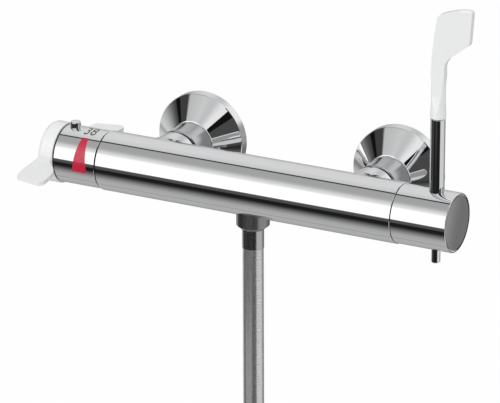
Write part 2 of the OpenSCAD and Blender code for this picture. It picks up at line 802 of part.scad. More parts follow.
// The band between its two angles, as a block that reaches from one radius outwards
module band_block(inner_r, outer_r) {
    middle = (band_top_angle - band_low_angle) / 2;
    reach = sleeve_r * sin((band_top_angle + band_low_angle) / 2);
    intersection() {
        difference() {
            bar(band_x - band_low_w, band_x + band_low_w, outer_r);
            bar(band_x - band_low_w - 1, band_x + band_low_w + 1, inner_r);
        }
        translate([band_x, -axis_gap, 0]) rotate([90 - middle, 0, 0]) linear_extrude(sleeve_r + 5)
            polygon([[-band_top_w / 2, reach], [-band_low_w / 2, -reach],
                [band_low_w / 2, -reach], [band_top_w / 2, reach]]);
    }
}

module temperature_sleeve() {
    color(chrome) difference() {
        on_axis(temp_end) turned([[sleeve_in_r, 0], [sleeve_r - sleeve_chamfer, 0],
            [sleeve_r, sleeve_chamfer], [sleeve_r, temp_sleeve_l - sleeve_chamfer],
            [sleeve_r - sleeve_chamfer, temp_sleeve_l], [sleeve_in_r, temp_sleeve_l]]);
        translate([button_x, -axis_gap, 0]) cylinder(r = button_r + 0.1, h = sleeve_r + 1);
        band_block(sleeve_r - band_t, sleeve_r + 1);
    }
}

module hot_band() {
    color([0.75, 0.08, 0.08]) band_block(sleeve_r - band_t, sleeve_r);
}

// Hub of the temperature handle: socket for the spindle, web, ribs, guide of the button,
// and a ring whose collar shows as a black line between the sleeve and the cap
module temperature_hub() {
    color(black) difference() {
        union() {
            difference() {
                union() {
                    bar(cap_in, hub_in, hub_r);
                    bar(cap_in + fit_gap, temp_end - fit_gap, sleeve_r - 0.2);
                }
                bar(cap_in - 1, hub_in + 1, hub_r - hub_ring_wall);
            }
            bar(hub_web_l, hub_web_l + hub_web_t, hub_r - hub_ring_wall + 0.5);
            bar(hub_web_l + 1, hub_in + hub_boss_out, hub_boss_r);
            for (i = [0 : 5]) translate([hub_web_l + hub_web_t - 1, -axis_gap, 0])
                rotate([30 + 60 * i, 0, 0]) translate([0, -hub_rib_t / 2, hub_boss_r - 0.5])
                    cube([hub_rib_l, hub_rib_t, hub_r - hub_ring_wall - hub_boss_r + 1]);
            translate([button_x, -axis_gap, button_floor - 1.5])
                cylinder(r = button_r + 1.2, h = hub_r - hub_ring_wall + 0.5 - button_floor + 1.5);
        }
        bar(hub_socket_end, hub_in + 2, spindle_head_r + fit_gap);
        bar(hub_web_l - 1, hub_socket_end + 1, screw_r + 0.1);
        translate([button_x, -axis_gap, button_floor]) cylinder(r = button_r + fit_gap, h = sleeve_r);
        translate([button_x, -axis_gap - foot_w / 2 - 0.2, foot_low - button_travel - 0.2])
            cube([button_r + 3, foot_w + 0.4, foot_top - foot_low + button_travel + 0.4]);
    }
}

// Screw with a hexagon socket in its head
module socket_screw(x, head_l, head_r, shank_l, shank_r) {
    difference() {
        union() {
            bar(x - head_l, x, head_r);
            bar(x - eps, x + shank_l, shank_r);
        }
        translate([x - head_l - 1, -axis_gap, 0]) rotate([0, 90, 0])
            cylinder(r = head_r * 0.45, h = head_l * 0.6 + 1, $fn = 6);
    }
}
module temperature_screw() {
    color(steel) socket_screw(hub_web_l, screw_head_t, screw_head_r, 10, screw_r - fit_gap);
}

// White cap with two flat wings, pressed into the ring of the hub
// The outline of a wing follows the reach of the wing, the length of the cap and the way back
module wing_grip() {
    skirt_r = hub_r - hub_ring_wall - fit_gap;
    outer_edge = arc([cap_l - cap_round, cap_r - cap_round], cap_round, 90, 0, 8);
    tip_r = 0.047 * wing_reach;
    tip_x = cap_end + 0.53 * cap_l;
    tip_out = 0.98 * wing_reach;
    rear_r = 0.08 * wing_reach;
    tip_in = 1.045 * wing_reach;
    rear = cap_in + 1.07 * wing_back;
    root = curve([rear - 1.43 * wing_back, 0.29 * wing_reach], [rear - 1.1 * wing_back, 0.48 * wing_reach],
        [rear - 0.1 * wing_back, 0.555 * wing_reach], [rear, 0.79 * wing_reach], 10);
    wing = concat([[cap_end + 0.02 * cap_l, 0.27 * wing_reach], [cap_end + 0.15 * cap_l, 0.8 * wing_reach]],
        arc([tip_x, tip_out - tip_r], tip_r, 180 - wing_corner, 90 + 0.2 * wing_corner, 4),
        arc([rear - 0.75 * rear_r, tip_in - rear_r], rear_r, 90 - 0.4 * wing_corner, 0.4 * wing_corner, 5),
        [for (i = [10 : -1 : 0]) root[i]]);
    color(white) difference() {
        union() {
            on_axis(cap_end) mirror([0, 0, 1]) translate([0, 0, -cap_l])
                turned(concat([[0, 0], [cap_r - 0.3, 0], [cap_r, 0.3]],
                    [for (p = outer_edge) [p[1], p[0]]], [[0, cap_l]]));
            bar(cap_in - 1, cap_in + 2.4, skirt_r);
            for (s = [0, 180])
                translate([0, -axis_gap, 0]) rotate([wing_slope + s, 0, 0])
                    translate([0, 0, -wing_t / 2]) linear_extrude(wing_t) polygon(wing);
        }
        bar(cap_end + 2.6, hub_web_l, skirt_r - 1.7);
    }
}

// Override button: cap, stem, and the foot that passes the lug of the stop ring when pressed
module override_button() {
    low = button_head_low;
    top = sleeve_r + button_h;
    arm_end = stop_x - 2.4;
    dome = 0.24 * button_r;
    dome_r = (button_r * button_r + dome * dome) / (2 * dome);
    edge_turn = acos(1 - dome / dome_r);
    color(chrome) {
        translate([button_x, -axis_gap, low]) turned(concat([[0, 0], [button_r, 0]],
            arc([0, top - low - dome_r], dome_r, 90 - edge_turn, 90, 8)));
        translate([button_x, -axis_gap, foot_low]) cylinder(r = stem_r, h = low - foot_low + eps);
        translate([button_x, -axis_gap - foot_w / 2, foot_low])
            cube([arm_end - button_x, foot_w, foot_top - foot_low]);
    }
}

module override_spring() {
    color(steel) translate([button_x, -axis_gap, button_floor + fit_gap])
        spring(2.4, 0.25, foot_low - button_floor - 2 * fit_gap, 3);
}

// Headwork: threaded housing, side windows, hexagonal flange and neck
module headwork_housing() {
    shoulder = washer_x + thrust_washer_t;
    color(brass) difference() {
        union() {
            bar(headwork_floor, half_l + eps, headwork_r - fit_gap);
            translate([half_l, -axis_gap, 0]) rotate([0, 90, 0])
                cylinder(r = headwork_r + headwork_hex_out, h = headwork_flange_t, $fn = 6);
            bar(half_l, half_l + headwork_flange_t + headwork_neck_l, headwork_neck_r);
        }
        bar(headwork_floor - 1, shoulder, cavity_r);
        bar(shoulder - 1, half_l + headwork_flange_t + headwork_neck_l + 1, flow_spindle_r + fit_gap);
        difference() {
            bar(headwork_floor + 4, headwork_floor + 15, headwork_r + 1);
            bar(headwork_floor + 3, headwork_floor + 16, headwork_r - 1.2);
        }
        for (i = [0 : 3]) translate([drive_x + 1.5, -axis_gap, 0]) rotate([45 + 90 * i, 0, 0])
            cylinder(r = 1.4, h = headwork_r + 1);
    }
}

module disc_seal() {
    color(rubber) difference() {
        bar(headwork_floor, headwork_floor + seal_t, disc_r);
        bar(headwork_floor - 1, headwork_floor + seal_t + 1, gallery_r + 0.2);
    }
}

// Two opposite water ports of a disc, as sectors between two radii
module disc_ports(x, h, turn) {
    for (s = [0, 180])
        on_axis(x) rotate([0, 0, turn + s]) linear_extrude(h)
            polygon(concat(arc([0, 0], disc_r - 2.2, -38, 38, 8), arc([0, 0], 2.4, 38, -38, 4)));
}
module fixed_disc() {
    color(white) difference() {
        bar(fixed_x, fixed_x + disc_t, disc_r);
        disc_ports(fixed_x - 1, disc_t + 2, 0);
    }
}
module turning_disc() {
    color(white) difference() {
        bar(turning_x, turning_x + disc_t, disc_r - 0.2);
        disc_ports(turning_x - 1, disc_t + 2, 90);
        for (s = [90, 270]) translate([drive_x - 1.2, -axis_gap, 0]) rotate([s, 0, 0])
            translate([0, 3, -1.2]) cube([2, 8, 2.4]);
    }
}

module thrust_washer() {
    color([0.85, 0.80, 0.70]) difference() {
        bar(washer_x + fit_gap, washer_x + thrust_washer_t, disc_r - 0.3);
        bar(washer_x - 1, washer_x + 2, flow_spindle_r + 0.2);
    }
}

// Flow spindle: forked drive head, sealed shaft with a groove for the clip, square end
module flow_spindle() {
    color(brass) difference() {
        union() {
            difference() {
                bar(drive_x, washer_x, disc_r - 0.3);
                disc_ports(drive_x - 1, drive_t + 2, 90);
            }
            bar(drive_x, flow_hub_in + 0.5, flow_spindle_r);
            for (s = [90, 270]) translate([drive_x - 1.1, -axis_gap, 0]) rotate([s, 0, 0])
                translate([0, 3.2, -1.1]) cube([1.2, 4.8, 2.2]);
            translate([flow_hub_in, -axis_gap, 0]) rotate([0, 90, 0])
                cylinder(r = flow_spindle_r, h = flow_web_x - flow_hub_in - 0.3, $fn = 4);
        }
        bar(half_l + 3, flow_web_x + 1, screw_r);
        for (x = [half_l - 6, half_l - 2]) difference() {
            bar(x - 0.7, x + 0.7, flow_spindle_r + 1);
            bar(x - 2, x + 2, flow_spindle_r - 1.1);
        }
        difference() {
            bar(clip_x - 0.05, clip_x + clip_t + 0.05, flow_spindle_r + 1);
            bar(clip_x - 1, clip_x + clip_t + 1, flow_spindle_r - clip_groove);
        }
    }
}

module flow_seals() {
    color(rubber) for (x = [half_l - 6, half_l - 2])
        o_ring(x, flow_spindle_r - 0.55, 0.52);
}

// Retaining clip with an open side
module spindle_clip() {
    color(steel) difference() {
        bar(clip_x, clip_x + clip_t, flow_spindle_r + 1.6);
        bar(clip_x - 1, clip_x + 2, flow_spindle_r - clip_groove + fit_gap);
        translate([clip_x - 1, -axis_gap - 2.2, -8]) cube([3, 4.4, 8]);
    }
}

// Hub of the flow handle: square socket, web, ring inside the sleeve and cross bore for the rod
module flow_hub() {
    ring_in = flow_hub_in + 1;
    color(black) difference() {
        union() {
            bar(flow_hub_in, flow_hub_out, flow_boss_r);
            bar(ring_in, ring_in + 3, hub_r - hub_ring_wall + 0.5);
            difference() {
                bar(ring_in, flow_hub_out, hub_r);
                bar(ring_in - 1, flow_hub_out + 1, hub_r - hub_ring_wall);
            }
            intersection() {
                translate([lever_x, -axis_gap, -hub_r + hub_ring_wall - 0.5])
                    cylinder(r = rod_low_r + 3.2, h = 2 * (hub_r - hub_ring_wall) + 1);
                bar(flow_hub_in, flow_hub_out, hub_r);
            }
        }
        translate([flow_hub_in - 1, -axis_gap, 0]) rotate([0, 90, 0])
            cylinder(r = flow_spindle_r + 0.07, h = flow_web_x - flow_hub_in + 1, $fn = 4);
        bar(flow_hub_in - 1, clip_x + clip_t + 0.3, flow_spindle_r + 2);
        bar(flow_web_x - 1, lever_x, screw_r + 0.1);
        bar(flow_web_x + flow_web_t, flow_hub_out + 1, set_screw_r);
        translate([lever_x, -axis_gap, rod_step_z]) cylinder(r = rod_low_r + fit_gap, h = sleeve_r + 10);
        translate([lever_x, -axis_gap, -sleeve_r - 1]) cylinder(r = foot_r + fit_gap, h = sleeve_r);
    }
}

module flow_screw() {
    color(steel) translate([flow_web_x + flow_web_t, 0, 0]) mirror([1, 0, 0])
        socket_screw(0, flow_screw_head_t, screw_head_r - 0.2, 11, screw_r - fit_gap);
}

module flow_sleeve() {
    color(chrome) difference() {
        on_axis(flow_in) turned(concat([[sleeve_in_r, 0], [sleeve_r - sleeve_chamfer, 0],
            [sleeve_r, sleeve_chamfer]], arc([sleeve_r - end_round, flow_sleeve_l - end_round],
            end_round, 0, 90, 6), [[cap_pocket_r, flow_sleeve_l],
            [cap_pocket_r, flow_sleeve_l - end_disc_t - disc_gap],
            [sleeve_in_r, flow_sleeve_l - end_disc_t - disc_gap]]));
        translate([lever_x, -axis_gap, 0]) cylinder(r = rod_low_r + 0.1, h = sleeve_r + 1);
        translate([lever_x, -axis_gap, -sleeve_r - 1]) cylinder(r = foot_r + 0.1, h = sleeve_r + 1);
    }
}

// End disc with a short collar that presses into the sleeve
module flow_cap() {
    color(chrome) {
        bar(end_disc_in, end_disc_in + end_disc_t, cap_pocket_r - 0.3);
        difference() {
            bar(end_disc_in - collar_l, end_disc_in + eps, sleeve_in_r - fit_gap);
            bar(end_disc_in - collar_l - 1, end_disc_in, sleeve_in_r - 1.6);
        }
    }
}

module lever_rod() {
    color(chrome) translate([lever_x, -axis_gap, 0]) turned([[0, rod_end_z], [foot_r - 0.5, rod_end_z],
        [foot_r, rod_end_z + 0.5], [foot_r, rod_step_z], [rod_low_r, rod_step_z], [rod_low_r, sleeve_r],
        [rod_top_r, grip_z - grip_gap - 0.2], [rod_top_r - 0.2, grip_z - grip_gap],
        [rod_spigot_r, grip_z - grip_gap], [rod_spigot_r, grip_z + rod_in_grip],
        [0, grip_z + rod_in_grip]]);
}

module lever_set_screw() {
    socket_l = 0.45 * (set_screw_end - set_screw_in);
    color(steel) difference() {
        bar(set_screw_in, set_screw_end, set_screw_r - fit_gap);
        translate([set_screw_end - socket_l, -axis_gap, 0]) rotate([0, 90, 0])
            cylinder(r = set_screw_r * 0.55, h = socket_l + 1, $fn = 6);
    }
}

// Grip: round socket and bar with two flats that lean in, and a blade that grows out to the right
// The outline of the blade is set by shares of the width of the blade and of the height of the grip
module lever_grip() {
    r = grip_socket_d / 2;
    w = grip_bar_w / 2;
    top = grip_z + grip_h;
    back = lever_x - w + 0.04;
    front = lever_x + w - 0.04;
    low = grip_z + 0.29 * grip_h;
    full = grip_z + 0.44 * grip_h;
    corner_r = 0.075 * blade_w;
    function at(a, b) = [back + a * blade_w, grip_z + b * grip_h];
    outline = concat([[front, low - 2], [front, grip_z + 0.442 * grip_h]],
        curve([front, grip_z + 0.447 * grip_h], [front, grip_z + 0.507 * grip_h],
            at(0.406, 0.536), at(0.491, 0.562), 6),
        curve(at(0.8826, 0.677), at(0.929, 0.690), at(0.947, 0.701), at(0.952, 0.722), 4),
        arc(at(1, 1) - [corner_r, corner_r], corner_r, 0, 90, 5),
        curve(at(0.861, 1), at(0.6655, 0.9947), at(0.4164, 0.967), at(0.238, 0.935), 6),
        curve(at(0.205, 0.928), at(0.160, 0.917), at(0.136, 0.905), at(0.1246, 0.882), 3),
        curve(at(0.118, 0.860), at(0.064, 0.738), at(0.021, 0.619), at(0, 0.407), 6),
        [[back, low - 2]]);
    color(white) difference() {
        intersection() {
            union() {
                translate([lever_x, -axis_gap, grip_z]) union() {
                    cylinder(r1 = r - 0.3, r2 = r, h = 0.4);
                    translate([0, 0, 0.4]) cylinder(r1 = r, r2 = w, h = 0.14 * grip_h);
                    translate([0, 0, 0.4 + 0.139 * grip_h]) cylinder(r = w, h = 0.3 * grip_h);
                }
                intersection() {
                    translate([0, -axis_gap + r + 1, 0]) rotate([90, 0, 0])
                        linear_extrude(2 * r + 2) polygon(outline);
                    union() {
                        translate([lever_x, -axis_gap, low])
                            cylinder(r1 = w - 0.1, r2 = w + blade_t / 4, h = full - low + eps);
                        translate([back - 2, -axis_gap - r, full]) cube([blade_w + 5, 2 * r, grip_h]);
                    }
                }
            }
            side_slab(r, top);
        }
        translate([lever_x, -axis_gap, grip_z - 1])
            cylinder(r = rod_spigot_r + fit_gap, h = rod_in_grip + 1.3);
    }
}
// Slab between the two faces of the grip, thick at the socket and thin at the blade
module side_slab(r, top) {
    b = blade_t / 2;
    half = [[r + 0.5, grip_z - 1], [r + 0.5, grip_z + 0.015 * grip_h], [1.5 * b, grip_z + 0.21 * grip_h],
        [b, grip_z + 0.475 * grip_h], [b, top - 1.4], [b - 0.8, top + 0.2]];
    translate([lever_x - blade_w, -axis_gap, 0]) rotate([90, 0, 90]) linear_extrude(2.5 * blade_w)
        polygon(concat(half, [for (i = [len(half) - 1 : -1 : 0]) [-half[i][0], half[i][1]]]));
}

// Threaded nipple screwed into the body from below
module outlet_nipple() {
    color(brass) translate([0, -axis_gap, 0]) difference() {
        union() {
            translate([0, 0, nut_top_z + 0.4])
                cylinder(r = nipple_root_r, h = nipple_top_z - nut_top_z - 0.4);
            translate([0, 0, nipple_low_z])
                cylinder(r = outlet_thread_r, h = nut_top_z + 0.1 - nipple_low_z);
            translate([0, 0, nut_top_z]) cylinder(r = nipple_root_r, h = 1);
        }
        translate([0, 0, nipple_low_z - 1]) cylinder(r = nipple_bore_r, h = 20);
    }
}

module hose_washer() {
    color(rubber) translate([0, -axis_gap, washer_low_z]) difference() {
        cylinder(r = outlet_thread_r - 0.5, h = hose_washer_t);
        translate([0, 0, -1]) cylinder(r = nipple_bore_r, h = hose_washer_t + 2);
    }
}

// Fittings of the hose stand with the nut open upwards; z = 0 is the lower face of the nut
module nut_shape(height, bore_r) {
    difference() {
        turned([[0, 0], [hose_nut_r - 3.4, 0], [hose_nut_r, nut_slope_h], [hose_nut_r, height - 0.4],
            [hose_nut_r - 0.4, height], [0, height]]);
        translate([0, 0, -1]) cylinder(r = ferrule_r + fit_gap, h = height);
        translate([0, 0, nut_floor_t]) cylinder(r = outlet_thread_r - 0.4, h = height);
        translate([0, 0, nut_floor_t + insert_flange_t]) cylinder(r = bore_r, h = height);
    }
}
module insert_shape() {
    difference() {
        union() {
            translate([0, 0, nut_floor_t]) cylinder(r = outlet_thread_r - 0.5, h = insert_flange_t);
            translate([0, 0, fit_gap]) cylinder(r = ferrule_r - fit_gap, h = nut_floor_t);
            translate([0, 0, -ferrule_l + fit_gap]) cylinder(r = tail_r, h = ferrule_l);
        }
        translate([0, 0, -ferrule_l - 1]) cylinder(r = tail_bore_r, h = ferrule_l + 10);
    }
}
module ferrule_shape() {
    translate([0, 0, -ferrule_l]) difference() {
        turned([[0, 0], [ferrule_r - 0.4, 0], [ferrule_r, 0.4], [ferrule_r, ferrule_l], [0, ferrule_l]]);
        translate([0, 0, -1]) cylinder(r = tail_r + fit_gap, h = ferrule_l + 2);
    }
}
module at_outlet() {
    translate([0, -axis_gap, nut_low_z]) children();
}
module at_far_end() {
    translate(far_start + [ferrule_l, 0, 0]) rotate([0, 90, 0]) children();
}
module hose_nut() {
    color(chrome) at_outlet() nut_shape(hose_nut_h, outlet_thread_r + fit_gap);
}
module hose_insert() {
    color(brass) at_outlet() insert_shape();
}
module hose_ferrule() {
    color(chrome) at_outlet() ferrule_shape();
}
module far_nut() {
    color(chrome) at_far_end() nut_shape(far_nut_h, far_bore_r);
}
module far_insert() {
    color(brass) at_far_end() insert_shape();
}
module far_ferrule() {
    color(chrome) at_far_end() ferrule_shape();
}

module hose_run() {
    color(chrome) swept(run_points, hose_r, run_sides, [1, 0, 0]);
}
module hose_coil() {
    color(chrome) swept(coil_path, hose_r, coil_sides, [0, 1, 0]);
}

// Two ties that hold the turns of the coil together
module tie(x, y_near, y_far) {
    inner = hose_r + seat_gap;
    outer = inner + 1.2;
    translate([x, 0, coil_z - 4]) linear_extrude(8) difference() {
        rounded_slot(y_near, y_far, outer);
        rounded_slot(y_near, y_far, inner);
    }
}
module rounded_slot(y_near, y_far, r) {
    translate([0, y_near]) circle(r = r);
    translate([0, y_far]) circle(r = r);
    translate([-r, y_near]) square([2 * r, y_far - y_near]);
}
module hose_ties() {
    color(black) {
        tie(0, -axis_gap - 2 * coil_pitch, -axis_gap);
        tie(-2 * coil_r, -axis_gap - 2.5 * coil_pitch, -axis_gap - 0.5 * coil_pitch);
    }
}

mixer_body();
hot_escutcheon();
cold_escutcheon();
hot_union();
cold_union();
hot_union_nut();
cold_union_nut();
hot_filter_washer();
cold_filter_washer();
hot_check_housing();
cold_check_housing();
hot_check_poppet();
cold_check_poppet();
hot_check_spring();
cold_check_spring();
cartridge_housing();
cartridge_nut();
cartridge_o_rings();
stop_ring();
return_spring();
temperature_spindle();
temperature_seals();
regulating_screw();
overload_spring();
wax_element();
mixing_spool();
temperature_sleeve();
hot_band();
temperature_hub();
temperature_screw();
wing_grip();
override_button();
override_spring();
headwork_housing();
disc_seal();
fixed_disc();
turning_disc();
thrust_washer();
flow_spindle();
flow_seals();
spindle_clip();
flow_hub();
flow_screw();
flow_sleeve();
flow_cap();
lever_rod();
lever_set_screw();
lever_grip();
outlet_nipple();
hose_washer();
hose_nut();
hose_insert();
hose_ferrule();
hose_run();
hose_coil();
hose_ties();
far_ferrule();
far_insert();
far_nut();
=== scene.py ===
import json
import math
import bmesh
import bpy
from mathutils import Matrix, Vector


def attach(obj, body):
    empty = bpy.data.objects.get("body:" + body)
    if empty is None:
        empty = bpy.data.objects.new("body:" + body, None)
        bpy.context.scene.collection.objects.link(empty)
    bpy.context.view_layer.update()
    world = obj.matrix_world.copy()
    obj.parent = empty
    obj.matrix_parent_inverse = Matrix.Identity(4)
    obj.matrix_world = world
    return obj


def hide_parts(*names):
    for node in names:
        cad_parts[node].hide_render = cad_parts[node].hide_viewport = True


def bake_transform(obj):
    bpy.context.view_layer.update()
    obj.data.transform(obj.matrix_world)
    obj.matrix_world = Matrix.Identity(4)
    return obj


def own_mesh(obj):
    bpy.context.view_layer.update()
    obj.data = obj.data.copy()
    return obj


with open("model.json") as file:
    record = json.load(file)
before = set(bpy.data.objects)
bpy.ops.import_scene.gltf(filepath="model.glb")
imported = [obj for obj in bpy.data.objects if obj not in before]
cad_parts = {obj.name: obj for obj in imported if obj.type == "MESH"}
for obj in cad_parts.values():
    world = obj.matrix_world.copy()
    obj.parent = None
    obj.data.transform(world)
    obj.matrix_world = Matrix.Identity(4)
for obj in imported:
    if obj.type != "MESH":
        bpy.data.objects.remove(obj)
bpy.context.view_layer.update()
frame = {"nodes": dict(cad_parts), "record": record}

nodes = frame["nodes"]
axisY = -0.073  # the mixer's axis runs along x at this y and at z 0

# camera of the photograph

camera = {
    "place": (1.00458, -2.00960, 0.82952),
    "heading": (-0.43044, 0.82793, -0.35951),
    "rollDegrees": -0.23,
    "lens": 251.74,
    "sensor": 36.0,
    "clipEnd": 20.0,
}


def placeCamera():
    forward = Vector(camera["heading"]).normalized()
    right = forward.cross(Vector((0, 0, 1))).normalized()
    up = right.cross(forward)
    roll = math.radians(camera["rollDegrees"])
    turnedRight = math.cos(roll) * right + math.sin(roll) * up
    turnedUp = -math.sin(roll) * right + math.cos(roll) * up
    data = bpy.data.cameras.new("camera")
    data.lens = camera["lens"]
    data.sensor_width = camera["sensor"]
    data.clip_end = camera["clipEnd"]
    obj = bpy.data.objects.new("camera", data)
    bpy.context.scene.collection.objects.link(obj)
    turn = Matrix((turnedRight, turnedUp, -forward)).transposed()
    obj.matrix_world = Matrix.Translation(camera["place"]) @ turn.to_4x4()
    bpy.context.scene.camera = obj


placeCamera()
print("camera placed")

# shower hose: straight down out of the picture, then a tied coil of two and three quarter turns

hose = {
    "radius": 0.00715,
    "top": -0.0439,
    "straightPoints": 14,
    "coilRadius": 0.0735,
    "coilZ": -0.262,
    "turns": 2.75,
    "pitch": 0.0152,
    "step": 0.008,  # the coil's last quarter turn steps this much further forward
    "stepTurns": 0.25,
    "lead": 0.0143,  # straight stretch before the coil and after it
    "ringsPerTurn": 48,
    "sides": 32,
}


def smoothShading(bm, creaseRadians):
    for face in bm.faces:
        face.smooth = True
    for edge in bm.edges:
        edge.smooth = edge.calc_face_angle(0) < creaseRadians


def putInOrder(parts, key):
    ranks = {part: rank for rank, part in enumerate(sorted(parts, key=key))}
    parts.sort(key=lambda part: ranks[part])
    parts.index_update()


def settleOrder(bm):
    # extrude and bevel leave their new parts in an order that differs from run to run
    putInOrder(bm.verts, lambda vert: vert.co[:])
    for parts in (bm.edges, bm.faces):
        putInOrder(parts, lambda part: sorted(vert.index for vert in part.verts))


def meshObject(name, bm):
    mesh = bpy.data.meshes.new(name)
    bm.to_mesh(mesh)
    bm.free()
    obj = bpy.data.objects.new(name, mesh)
    bpy.context.scene.collection.objects.link(obj)
    return obj


def newParts(made, kind):
    return [part for part in made if isinstance(part, kind)]


def easeInOut(u):
    u = min(max(u, 0.0), 1.0)
    return u * u * (3 - 2 * u)


def coilPoint(t):
    # t counts turns, from the side of the coil where the straight stretch comes in
    angle = -2 * math.pi * t
    stepped = hose["step"] * easeInOut((t - hose["turns"] + hose["stepTurns"]) / hose["stepTurns"])
    return Vector((
        -hose["coilRadius"] + hose["coilRadius"] * math.cos(angle),
        axisY - hose["pitch"] * t - stepped,
        hose["coilZ"] + hose["coilRadius"] * math.sin(angle)))


def hoseRoute():
    top = Vector((0, axisY, hose["top"]))
    straightEnd = Vector((0, axisY, hose["coilZ"] + hose["lead"]))
    count = hose["straightPoints"]
    points = [top.lerp(straightEnd, i / count) for i in range(count + 1)]
    steps = round(hose["turns"] * hose["ringsPerTurn"])
    points += [coilPoint(i / hose["ringsPerTurn"]) for i in range(steps + 1)]
    points.append(points[-1] + Vector((hose["lead"], 0, 0)))
    return points


def ringPlaces(path):
    # a matrix for each point, square to the path and twisted as little as can be
    places = []
    side = Vector((0, 1, 0))
    for i, point in enumerate(path):
        before = path[max(i - 1, 0)]
        after = path[min(i + 1, len(path) - 1)]
        tangent = ((after - point).normalized() + (point - before).normalized()).normalized()
        side = (side - side.dot(tangent) * tangent).normalized()
        turn = Matrix((side, tangent.cross(side), tangent)).transposed()
        places.append(Matrix.Translation(point) @ turn.to_4x4())
    return places


def sweptTube(name, path, radius, sides):
    # a circle extruded along the path, with a UV that runs along it (u, in metres) and round it (v)
    bm = bmesh.new()
    uvLayer = bm.loops.layers.uv.new("UVMap")
    places = ringPlaces(path)
    ring = bmesh.ops.create_circle(bm, segments=sides, radius=radius)["verts"]
    circle = [vert.co.copy() for vert in ring]
    column = {vert: k for k, vert in enumerate(ring)}
    along = dict.fromkeys(ring, 0.0)
    bmesh.ops.transform(bm, matrix=places[0], verts=ring)
    edges = bm.edges[:]
    rims = list(edges)
    length = 0.0
    for i in range(1, len(path)):
        length += (path[i] - path[i - 1]).length
        made = bmesh.ops.extrude_edge_only(bm, edges=edges)["geom"]
        edges = newParts(made, bmesh.types.BMEdge)
        sources = {}  # each new point and the one that it was pulled from
        for vert in newParts(made, bmesh.types.BMVert):
            linked = (edge.other_vert(vert) for edge in vert.link_edges)
            sources[vert] = next(other for other in linked if other in along)
        for vert, source in sources.items():
            column[vert] = column[source]
            along[vert] = length
            vert.co = places[i] @ circle[column[vert]]
    rims += edges
    for face in bm.faces:
        face.smooth = True
        atSeam = {column[vert] for vert in face.verts} == {0, sides - 1}
        for loop in face.loops:
            k = column[loop.vert] or (sides if atSeam else 0)
            loop[uvLayer].uv = (along[loop.vert], k / sides)
    bmesh.ops.edgeloop_fill(bm, edges=rims)
    for edge in rims:
        edge.smooth = False
    bmesh.ops.recalc_face_normals(bm, faces=bm.faces)
    settleOrder(bm)
    return meshObject(name, bm)


route = hoseRoute()
hoseTube = sweptTube("shower_hose", route, hose["radius"], hose["sides"])
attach(hoseTube, "mixer")
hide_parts("hose_run", "hose_coil")

# world: white to the camera; gloss sees strips that run along the mixer, and cards at both sides

studio = {
    "fill": 0.62,
    # strips are (angle in degrees, value): 0 is level in front, 90 straight up, 180 level behind
    "strips": (
        (-180, 0.46), (-165, 0.36), (-155, 0.27), (-140, 0.32), (-115, 0.44), (-90.8, 0.46), (-89, 0.12),
        (-87.2, 0.46), (-66, 0.42), (-57, 0.32), (-49, 0.21), (-42, 0.11), (-35, 0.03), (-31, 0.012),
        (-21, 0.012), (-18.2, 0.08), (-7.5, 0.083), (-6.2, 1.2), (36, 1.2), (40, 0.95), (44.2, 0.80),
        (52, 0.67), (60, 0.46), (66, 0.40), (89.2, 0.385), (90.2, 0.02), (94.4, 0.02), (95.4, 0.62),
        (120, 0.72), (156, 0.70), (180, 0.46)),
    # a card is its value and its sides: a side is (axis, from, to), and the card fades in between the two
    "cards": {
        "right, low": (0.57, ("X", -0.3, -0.05), ("Z", 0.0, 0.1)),
        "right, high": (0.86, ("X", 0.0, 0.3), ("Z", 0.0, 0.1)),
        "right, behind": (0.33, ("X", 0.5, 0.56), ("Y", 0.05, 0.2)),
        "left end": (0.05, ("X", -0.66, -0.72)),
        "left, low": (0.05, ("X", -0.52, -0.66), ("Z", 0.12, 0.0)),
        "left black": (0.006, ("X", -0.86, -0.875), ("X", -0.935, -0.92), ("Z", 0.1, 0.2)),
        "left pale": (0.66, ("X", -0.80, -0.90), ("Y", -0.2, 0.2), ("Z", -0.3, -0.2)),
        "left pale, low": (0.66, ("X", -0.70, -0.80), ("Y", 0.1, 0.3), ("Z", -0.2, -0.3)),
        "end disc, dark": (0.17, ("X", 0.15, 0.25), ("Y", 0.6, 0.7), ("Z", -0.15, -0.25)),
        "end disc, light": (0.36, ("X", 0.35, 0.53), ("Y", 0.6, 0.7), ("Z", -0.15, -0.25)),
        "right dark": (0.065, ("X", 0.52, 0.535), ("Y", 0.0, -0.2), ("Z", -0.36, -0.25)),
        "right black": (0.006, ("X", 0.39, 0.405), ("X", 0.55, 0.54), ("Y", 0.0, -0.2), ("Z", 0.2, 0.3)),
        "right pale, low": (0.66, ("X", 0.62, 0.66), ("Z", -0.22, -0.32),
                            ("Y", 0.65, 0.55), ("Y", -0.48, -0.40)),
    },
    "floorZ": -0.3435,
    "floorHalf": 9,
    "floorGrey": 0.9,
    "floorGlow": 0.97,  # share of the floor that the camera sees as plain white
}


def addNode(tree, kind, **values):
    node = tree.nodes.new(kind)
    for key, value in values.items():
        setattr(node, key, value)
    return node


def grey(value):
    return (value, value, value, 1)


def mathNode(tree, operation, first, second=0.0):
    node = addNode(tree, "ShaderNodeMath", operation=operation)
    for socket, value in zip(node.inputs, (first, second)):
        if isinstance(value, (int, float)):
            socket.default_value = value
        else:
            tree.links.new(value, socket)
    return node.outputs[0]


def rampNode(tree, stops, source):
    ramp = addNode(tree, "ShaderNodeValToRGB")
    elements = ramp.color_ramp.elements
    while len(elements) > 1:
        elements.remove(elements[-1])
    for i, (place, value) in enumerate(stops):
        element = elements[0] if i == 0 else elements.new(place)
        element.position = place
        element.color = grey(value)
    tree.links.new(source, ramp.inputs["Fac"])
    return ramp.outputs["Color"]


def rangeNode(tree, source, low, high):
    node = addNode(tree, "ShaderNodeMapRange", interpolation_type="SMOOTHSTEP")
    node.inputs["From Min"].default_value = low
    node.inputs["From Max"].default_value = high
    tree.links.new(source, node.inputs["Value"])
    return node.outputs["Result"]


